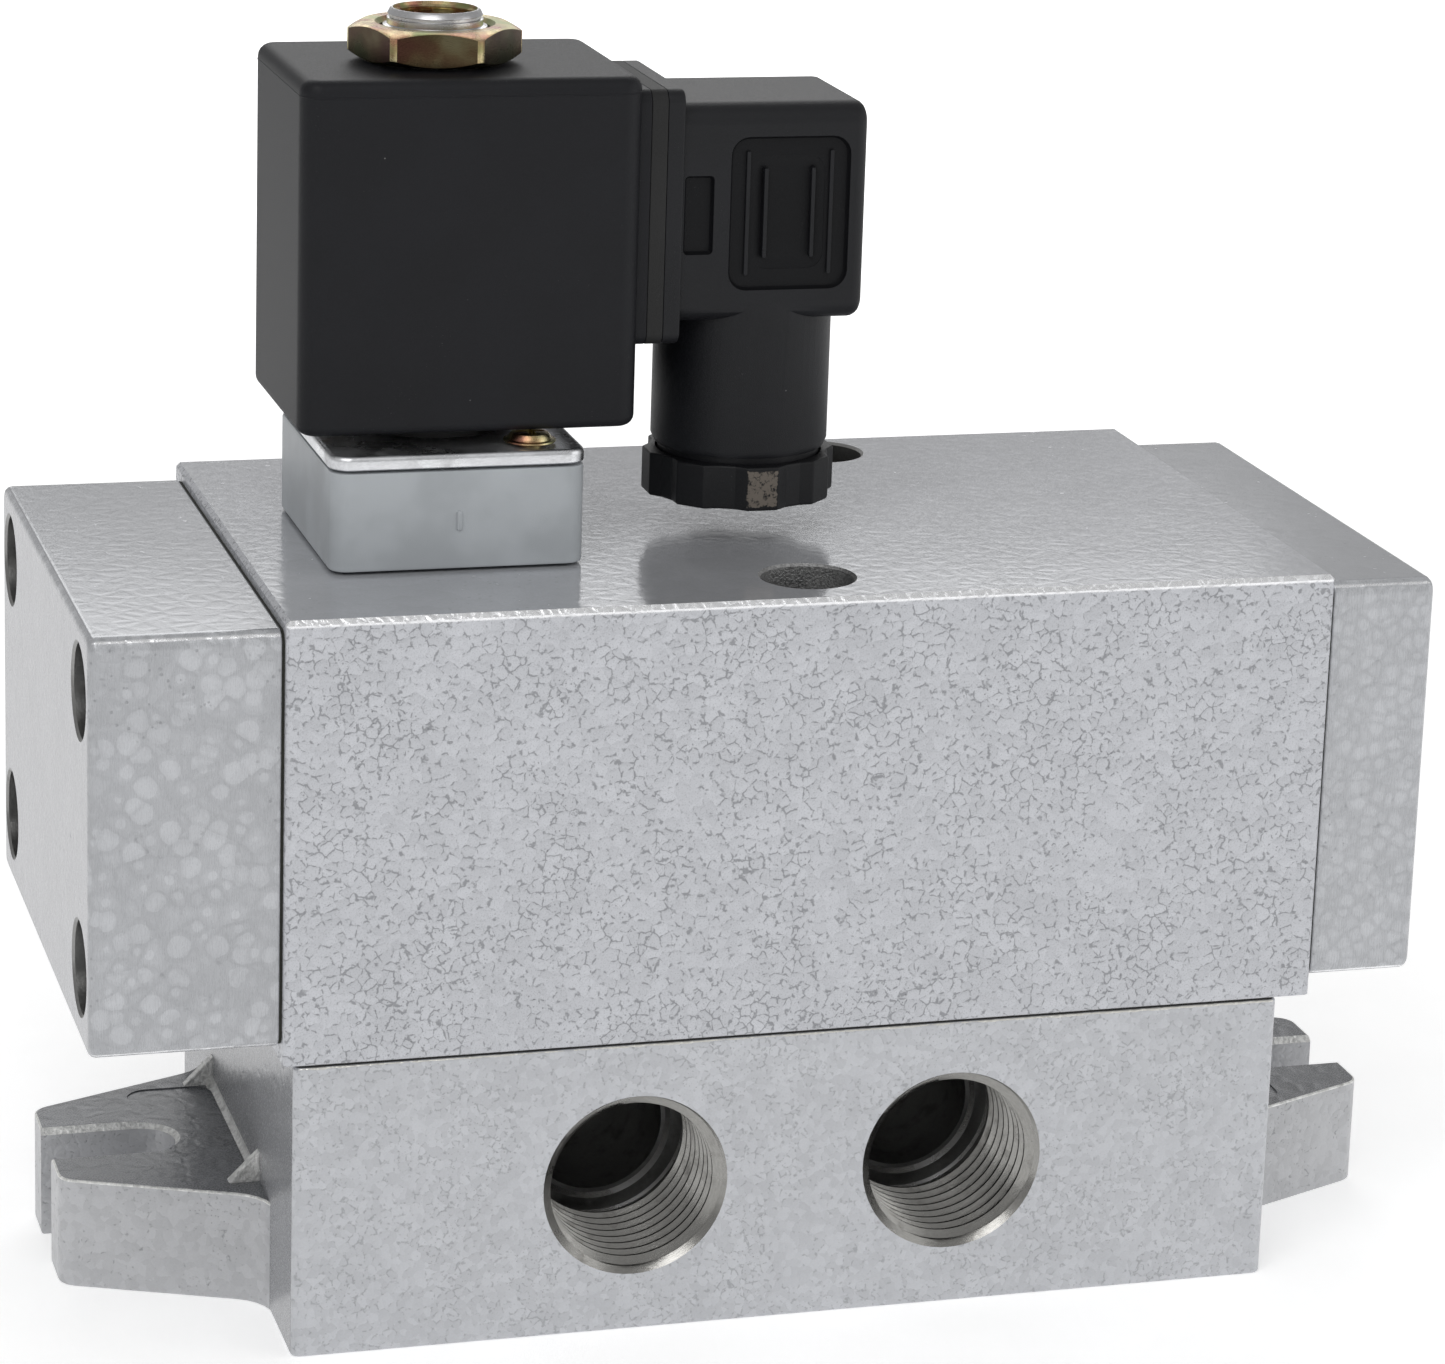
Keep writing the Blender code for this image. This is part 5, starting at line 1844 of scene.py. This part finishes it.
@dataclass
class Coil:
    """The overmoulded coil with the boss that its connector stands on."""

    axis: Pair
    plug: Pair = (-3.0, 123.0)
    boss_middle: float = 122.8
    boss_half: Pair = (11.0, 14.4)
    boss_end: float = -14.2
    corner_r: float = 2.3
    top_rim: float = 1.5
    bottom_rim: float = 1.2
    seam_drop: float = 1.8
    finish: Finish = Moulding(
        "black_nylon", (0.0052, 0.0056, 0.0078), 0.5, specular=0.27, size=0.14, relief=0.014
    )

    def build(self) -> None:
        """Builds the coil's housing."""
        low, high = span("coil_housing")
        side = span("coil_yoke")[1].x + 6.45  # the coil's own face, behind the boss
        seam = high.z - self.seam_drop
        layers = rims(low.z, high.z, self.bottom_rim, self.top_rim, 5)
        middle = len(layers) // 2
        layers[middle:middle] = [
            (seam - 0.1, 0.0), (seam - 0.05, -0.05), (seam + 0.05, -0.05), (seam + 0.1, 0.0)
        ]
        outline = rectangle(low.xy, (side, high.y), self.corner_r)
        housing = solid("coil_moulding", loft(Axis.Z, outline, layers), self.finish)
        boss_low = (self.plug[0] - self.boss_half[0], self.boss_middle - self.boss_half[1])
        boss_high = (self.plug[0] + self.boss_half[0], self.boss_middle + self.boss_half[1])
        boss = loft(
            Axis.X, rectangle(boss_low, boss_high, 1.5), rims(side - 3.0, self.boss_end, 0.0, 0.12, 2)
        )
        combine(housing, [solid("tool_boss", boss, self.finish)], "UNION")
        cavity = ((-51.7, self.axis[1] - 11.5, low.z - 1.0), (-20.5, self.axis[1] + 11.5, 136.4))
        tools = [slab("tool_cavity", *cavity, self.finish, 1.0)]
        tools.append(
            drill("tool_coil_bore", Axis.Z, self.axis, high.z, 130.0, self.tubeway, self.finish, 0.4)
        )
        tools.append(
            drill("tool_coil_thread", Axis.X, self.plug, self.boss_end, -18.5, 1.8, self.finish, 0.2)
        )
        for node in ("terminal_blade_1", "terminal_blade_2", "earth_blade"):
            start, end = span(node)
            room = Vector((1.3, GAP, GAP))
            tools.append(slab(f"tool_{node}", tuple(start - room), tuple(end + room), self.finish))
        combine(housing, tools)
        present(housing, Body.COIL, Slot.BLACK_MOULDING, "coil_housing")

    @property
    def tubeway(self) -> float:
        """The radius of the hole that the tube goes through."""
        return 6.2


@dataclass
class Connector:
    """The right-angle connector: gasket, housing, screw and cable gland."""

    middle: Pair = (-3.0, 123.0)
    flange_middle: float = 122.8
    flange_half: Pair = (11.0, 14.4)
    half: Pair = (10.15, 12.4)
    corner_r: float = 2.4
    rim: float = 1.4
    gland_x: float = 0.05
    neck_r: float = 10.15
    recess: float = 0.6
    rib_height: float = 0.35
    rib_half: float = 0.24
    ribs: tuple[Triple, ...] = ((-2.6, 7.05, 0.0), (7.1, 7.05, 0.0), (-0.5, 5.1, 0.0), (5.0, 5.1, 0.0))
    grip_count: int = 8
    grip_r: Pair = (10.3, 11.1)
    grip_angles: Pair = (0.30, 0.16)
    # darker and less shiny than the housing: a painted shade in the sunk panels
    recess_finish: Finish = Moulding(
        "recess_nylon", (0.0030, 0.0032, 0.0042), 0.5, size=0.12, relief=0.012, specular=0.2
    )
    finish: Finish = Moulding("connector_nylon", (0.0055, 0.0059, 0.0078), 0.48, size=0.12, relief=0.012)

    def build(self) -> None:
        """Builds every piece of the connector."""
        self.build_gasket()
        self.build_housing()
        self.build_screw()
        self.build_gland()

    def flange(self) -> Outline:
        """Gives the outline that gasket and flange share."""
        low = (self.middle[0] - self.flange_half[0], self.flange_middle - self.flange_half[1])
        high = (self.middle[0] + self.flange_half[0], self.flange_middle + self.flange_half[1])
        return rectangle(low, high, 1.5)

    def build_gasket(self) -> None:
        """Builds the soft gasket between coil and connector."""
        low, high = span("connector_gasket")
        start, end = low.x - GAP + 0.02, high.x + GAP - 0.02
        gasket = solid("plug_gasket", loft(Axis.X, self.flange(), rims(start, end, 0.12, 0.12, 2)), RUBBER)
        y, z = self.middle
        window = ((low.x - 2.0, y - 8.2, z - 10.0), (high.x + 2.0, y + 8.2, z + 10.0))
        combine(gasket, [slab("tool_plug_window", *window, RUBBER)])
        present(gasket, Body.COIL, Slot.BLACK_RUBBER, "connector_gasket")

    def build_housing(self) -> None:
        """Builds the housing with its neck, hollow and marked sides."""
        start, end = span("connector_housing")
        y, z = self.middle
        flange_end = start.x + 2.0
        outline = rectangle(
            (y - self.half[0], z - self.half[1]), (y + self.half[0], z + self.half[1]), self.corner_r
        )
        housing = solid(
            "plug_housing", loft(Axis.X, outline, rims(flange_end - 1.0, end.x, 0.0, self.rim, 5)),
            self.finish
        )
        flange = loft(Axis.X, self.flange(), rims(start.x, flange_end, 0.12, 0.35, 2))
        neck = [(91.1, 9.0), (91.4, 9.3), (94.7, 9.3), (94.7, 9.8), (95.5, self.neck_r), (113.0, self.neck_r)]
        centre = (self.gland_x, y)
        parts = [solid("tool_flange", flange, self.finish)]
        parts.append(solid("tool_neck", turned(Axis.Z, centre, neck), self.finish))
        combine(housing, parts, "UNION")
        hollow = ((start.x - 1.0, y - 8.3, z - 10.6), (7.5, y + 8.3, z + 10.6))
        tools = [
            slab("tool_hollow", *hollow, self.finish),
            drill("tool_cable", Axis.Z, centre, 90.0, 118.0, 7.6, self.finish)
        ]
        sink = [(end.x + 1.0, 3.2), (8.3, 3.2), (8.3, 1.8), (5.0, 1.8)]
        tools.append(solid("tool_screw_sink", turned(Axis.X, self.middle, sink, SMALL_SIDES), self.finish))
        combine(housing, tools)
        combine(housing, [tool for sign in (-1, 1) for tool in self.side_tools(sign)])
        combine(housing, [rib for sign in (-1, 1) for rib in self.side_ribs(sign)], "UNION")
        present(housing, Body.COIL, Slot.BLACK_MOULDING, "connector_housing")

    def side_tools(self, sign: int) -> list[bpy.types.Object]:
        """Makes the tools for the window, the panel and the sunk pad of one side.

        Args:
            sign: -1 for the front, +1 for the back.

        Returns:
            The tools.
        """
        face = self.middle[0] + sign * self.half[0]
        floor = face - sign * self.recess
        shapes = {
            "window": ((118.6, -9.9), (127.3, -6.7), 0.4, floor),
            "panel": ((114.4, -4.6), (131.6, 9.1), 2.0, floor),
            "pad": ((116.6, -1.9), (129.4, 6.4), 1.8, floor - sign * 0.35),
        }
        tools = []
        for label, (low, high, radius, bottom) in shapes.items():
            slope = 1.3 if label == "pad" else 0.2
            layers = [(face + sign * 0.5, -0.3), (bottom + sign * 0.3, 0.0), (bottom, slope)]
            outline = rectangle(low, high, radius)
            # the cut faces take the darker recess nylon, a painted shade
            tools.append(solid(f"tool_{label}_{sign}", loft(Axis.Y, outline, layers), self.recess_finish))
        return tools

    def side_ribs(self, sign: int) -> list[bpy.types.Object]:
        """Makes the four upright ribs of one side.

        Args:
            sign: -1 for the front, +1 for the back.

        Returns:
            The ribs.
        """
        floor = self.middle[0] + sign * (self.half[0] - self.recess)
        made = []
        for k, (x, half_length, lift) in enumerate(self.ribs):
            z = self.middle[1] + lift
            outline = rectangle(
                (z - half_length, x - self.rib_half), (z + half_length, x + self.rib_half), 0.15
            )
            layers = rims(floor - sign * 0.6, floor + sign * self.rib_height, 0.0, 0.12, 2)
            made.append(solid(f"rib_{k}_{sign}", loft(Axis.Y, outline, layers), self.finish))
        return made

    def build_screw(self) -> None:
        """Builds the connector's slotted fixing screw."""
        low, high = span("connector_screw")
        top, seat = high.x, 8.6
        profile = [
            (top, 2.1), (top - 0.15, 2.55), (top - 0.5, 2.8), (seat, 2.8), (seat, 1.45), (low.x + 0.4, 1.45)
        ]
        profile.append((low.x, 1.0))
        finish = BareMetal("zinc_screw", (0.62, 0.62, 0.6), 0.3, dirt=0.3)
        screw = solid("plug_screw", turned(Axis.X, self.middle, profile, SMALL_SIDES), finish)
        y, z = self.middle
        slot = ((top - 1.0, y - 3.5, z - 0.35), (top + 1.0, y + 3.5, z + 0.35))
        combine(screw, [slab("tool_screw_slot", *slot, finish)])
        present(screw, Body.COIL, Slot.ZINC_STEEL, "connector_screw")

    def build_gland(self) -> None:
        """Builds the ribbed gland nut, its washer and its seal."""
        low, high = span("gland_nut")
        centre = Vector((self.gland_x, self.middle[0]))
        corners = []
        for k in range(self.grip_count):
            middle = 2 * math.pi * k / self.grip_count
            valley, crest = self.grip_angles
            for lean, radius, curve in (
                (-valley, self.grip_r[0], 0.35), (-crest, self.grip_r[1], 0.5),
                (crest, self.grip_r[1], 0.5), (valley, self.grip_r[0], 0.35),
            ):
                corners.append(
                    (*(centre + Vector((math.cos(middle + lean), math.sin(middle + lean))) * radius), curve)
                )
        scuffed = ScuffedMoulding(
            "scuffed_nylon", (0.0045, 0.0048, 0.006), 0.48, size=0.12, relief=0.012,
            patch=(
                (centre.x - 1.9, centre.y - 12.0, low.z + 0.5), (centre.x + 1.7, centre.y - 9.8, high.z - 0.4)
            ),
        )
        nut = solid("grip_nut", loft(Axis.Z, rounded(corners), rims(low.z, high.z, 0.4, 0.25, 3)), scuffed)
        floor = low.z + 1.4
        bore = [(high.z + 1.0, 9.6), (floor, 9.6), (floor, 5.6), (low.z + 0.3, 5.6), (low.z - 1.0, 6.9)]
        combine(nut, [solid("tool_gland_bore", turned(Axis.Z, tuple(centre), bore), scuffed)])
        present(nut, Body.COIL, Slot.BLACK_MOULDING, "gland_nut")
        washer_low, washer_high = span("gland_washer")
        ring = [(washer_low.z, 5.2), (washer_low.z, 8.9), (washer_high.z, 8.9), (washer_high.z, 5.2)]
        zinc = BareMetal("zinc_washer", (0.6, 0.6, 0.6), 0.32, dirt=0.3)
        washer = solid("gland_ring", turned(Axis.Z, tuple(centre), ring, closed=True), zinc)
        present(washer, Body.COIL, Slot.ZINC_STEEL, "gland_washer")
        low, high = span("gland_seal")
        profile = [
            (low.z, 4.9), (low.z, 6.8), (low.z + 0.4, 7.2), (high.z - 0.4, 7.2), (high.z, 6.8), (high.z, 4.9)
        ]
        profile += [(high.z - 0.4, 4.5), (low.z + 0.4, 4.5)]
        seal = solid("gland_grommet", turned(Axis.Z, tuple(centre), profile, closed=True), RUBBER)
        present(seal, Body.COIL, Slot.BLACK_RUBBER, "gland_seal")


@dataclass
class Springs:
    """The two compression springs."""

    line: SpoolLine
    axis: Pair
    spool_stroke: float = 6.0
    plunger_stroke: float = 1.2

    def build(self) -> None:
        """Builds both springs."""
        low, high = span("return_spring")
        mesh = wound(Axis.X, self.line.centre, low.x, high.x, 7.4, 0.8, 4)
        self.fit(
            "spool_spring", mesh, "return_spring", Axis.X, high.x,
        )
        low, high = span("plunger_spring")
        mesh = wound(Axis.Z, self.axis, low.z, high.z, 1.7, 0.25, 6, 24)
        self.fit(
            "armature_spring", mesh, "plunger_spring", Axis.Z, high.z,
        )

    def fit(
        self, name: str, mesh: bmesh.types.BMesh, node: str, axis: Axis, seat: float,
    ) -> None:
        """Finishes a spring.

        Args:
            name: the spring's name.
            mesh: its mesh.
            node: the frame node it stands for.
            axis: its axis.
            seat: where its fixed end stands.
        """
        spring = solid(name, mesh, TURNED_STEEL)
        present(spring, Body.ROOT, Slot.STEEL, node)
        tuple(axis.point(0, 0, 1))
        tuple(axis.point(0, 0, seat * MM))
        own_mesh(spring)


@dataclass
class CarriedOver:
    """The frame's own inner pieces, whose shapes stay and which only get their finishes."""

    def build(self) -> None:
        """Gives each inner piece its finish."""
        spool = BareMetal(
            "spool_aluminium", (0.68, 0.68, 0.68), 0.26, size=0.1, stretch=(0.5, 4.0, 4.0), dirt=0.1
        )
        yoke = BareMetal(
            "rolled_steel", (0.50, 0.50, 0.51), 0.36, size=0.2, stretch=(1.0, 1.0, 6.0), dirt=0.3
        )
        copper = BareMetal("bright_copper", (0.80, 0.42, 0.28), 0.3, size=0.1, dirt=0.1)
        grey = Moulding("terminal_moulding", (0.33, 0.34, 0.35), 0.5, dust_colour=(0.1, 0.1, 0.1))
        nylon = Moulding("white_bobbin", (0.72, 0.71, 0.68), 0.4, dust_colour=(0.4, 0.4, 0.4))
        wire = Winding("enamelled_wire", (0.62, 0.25, 0.11), 0.32)
        gasket = Moulding("green_gasket", (0.05, 0.085, 0.045), 0.6, size=0.3, relief=0.02)
        finishes = {
            spool: ["spool", "pilot_piston"],
            RUBBER: [f"spool_seal_{k}" for k in range(1, 7)]
            + ["piston_seal", "pilot_gasket", "tube_seal", "plunger_seal", "coil_washer"],
            TURNED_STEEL: ["spring_seat", "fixed_core", "plunger"],
            BRASS_TURNED: ["pilot_seat", "terminal_blade_1", "terminal_blade_2", "earth_blade"],
            copper: ["shading_ring"],
            yoke: ["coil_yoke"],
            nylon: ["coil_bobbin"],
            wire: ["coil_winding"],
            grey: ["terminal_insert"],
            gasket: ["base_gasket", "left_cap_gasket", "right_cap_gasket"],
        }
        for finish, nodes in finishes.items():
            for node in nodes:
                for slot in bpy.data.objects[node].material_slots:
                    slot.material = finish.material()


@dataclass
class Studio:
    """The pale floor, the soft lights, the surroundings and the camera."""

    camera_place: Triple = (-151.535, -522.09, 224.81)
    turn: float = -16.7011
    pitch: float = -14.6371
    roll: float = 1.9860
    lens: float = 120.26
    shift: Pair = (-0.03245, -0.1031)
    surround: float = 0.42

    def build(self) -> None:
        """Sets up the whole studio."""
        self.build_world()
        self.build_floor()
        self.add_light("key", (-260.0, -420.0, 620.0), (0.0, 0.0, 50.0), 420.0, 1.5)
        self.add_light("fill", (520.0, -300.0, 300.0), (0.0, 0.0, 50.0), 500.0, 0.7)
        self.add_light("back", (100.0, 620.0, 520.0), (0.0, 0.0, 60.0), 500.0, 1.2)
        self.build_camera()
        bpy.context.scene.view_settings.view_transform = "Standard"

    def build_world(self) -> None:
        """Makes the surroundings, plain white to the camera and dimmer as light."""
        world = bpy.context.scene.world or bpy.data.worlds.new("surroundings")
        bpy.context.scene.world = world
        world.use_nodes = True
        graph = Graph(world.node_tree)
        background = world.node_tree.nodes["Background"]
        seen = graph.add("ShaderNodeLightPath", {}).outputs["Is Camera Ray"]
        background.inputs["Color"].default_value = (1.0, 1.0, 1.0, 1.0)
        world.node_tree.links.new(
            graph.ramp(seen, 0.0, 1.0, self.surround, 1.0), background.inputs["Strength"]
        )

    def build_floor(self) -> None:
        """Makes the pale floor."""
        mesh = bmesh.new()
        bmesh.ops.create_grid(mesh, x_segments=8, y_segments=8, size=4000.0)
        paper = FloorPaper("floor_paper", (0.88, 0.88, 0.88), 0.8, cloud=0.01, dust=0.0, scratch=0.0)
        floor = solid("floor", mesh, paper)

    def add_light(self, name: str, place: Triple, target: Triple, size: float, power: float) -> None:
        """Adds a soft square light.

        Args:
            name: its name.
            place: where it stands.
            target: the point it faces.
            size: the length of its side.
            power: its power in watts.
        """
        lamp = bpy.data.lights.new(name, "AREA")
        lamp.size = size * MM
        lamp.energy = power
        light = bpy.data.objects.new(name, lamp)
        light.location = Vector(place) * MM
        light.rotation_euler = (Vector(place) - Vector(target)).to_track_quat("Z", "Y").to_euler()
        bpy.context.scene.collection.objects.link(light)

    def build_camera(self) -> None:
        """Places the camera."""
        data = bpy.data.cameras.new("camera")
        data.lens = self.lens
        data.shift_x, data.shift_y = self.shift
        data.clip_start, data.clip_end = 0.01, 20.0
        camera = bpy.data.objects.new("camera", data)
        turn = Matrix.Rotation(math.radians(self.turn), 4, "Z")
        tilt = Matrix.Rotation(math.radians(90 + self.pitch), 4, "X")
        roll = Matrix.Rotation(math.radians(self.roll), 4, "Z")
        camera.matrix_world = Matrix.Translation(Vector(self.camera_place) * MM) @ turn @ tilt @ roll
        bpy.context.scene.collection.objects.link(camera)
        bpy.context.scene.camera = camera


def end_caps(line: SpoolLine, screws: tuple[Pair, ...]) -> list[EndCap]:
    """Gives both end caps with their finishes.

    Args:
        line: the spool's axis.
        screws: the places of the screws.

    Returns:
        The left cap and the right cap.
    """
    caps = []
    for side, cell, blob, rest in (
        (Side.LEFT, 2.2, 0.085, (20.3, 15.5, -72.0, -70.0)),
        (Side.RIGHT, 1.8, 0.05, (16.3, 9.5, 71.0, 66.6)),
    ):
        name = side.name.lower()
        low, high = span(f"{name}_cap")
        block = ((-500.0, low.y, low.z), (500.0, high.y, high.z))
        flank = HammerPaint(
            f"{name}_cap_enamel", (0.485, 0.495, 0.515), 0.28, block=block, cell=cell, unbroken=0.15,
            crack=0.35,
            crack_width=0.06, pinhole=0.4, tone=0.04, wander=0.3, relief=0.05, rim=0.07, blob=blob,
            streak=0.03,
            stretch=(0.7, 0.7, 5.0), wear_width=0.6, chips=0.06,
        )
        top = HammerPaint(
            f"{name}_cap_top_enamel", (0.45, 0.46, 0.48), 0.14, block=block, cell=2.4, unbroken=0.1,
            crack=0.12,
            pinhole=0.2, tone=0.015, wander=0.3, relief=0.006, wear_width=0.5, metallic=0.45,
        )
        end = HammerPaint(
            f"{name}_cap_end_enamel", (0.43, 0.435, 0.455), 0.26, block=block, cell=3.2, unbroken=0.0,
            crack=0.25,
            pinhole=0.5, tone=0.015, relief=0.02, streak=0.05, stretch=(0.6, 0.6, 6.0), wear_width=0.6,
            chips=0.12,
        )
        caps.append(EndCap(side, line, screws, (flank, top, end), *rest))
    return caps


def main() -> None:
    """Builds the sub-assemblies in order and reports each."""
    logging.basicConfig(level=logging.INFO, format="%(message)s")
    line, bolts = SpoolLine(), BodyBolts()
    screws = ((-28.1, 44.5), (26.3, 44.5), (-28.1, 75.8), (26.3, 75.8))
    tube = (-36.4, -3.0)
    studio = Studio()
    assemblies = [
        studio, BasePlate(line, bolts), ValveBody(line, bolts, screws), *end_caps(line, screws), bolts
    ]
    assemblies += [PilotValve(tube), Coil(tube), Connector(), Springs(line, tube), CarriedOver()]
    for assembly in assemblies:
        logging.info("building %s", type(assembly).__name__)
        assembly.build()


if __name__ == "__main__":
    main()
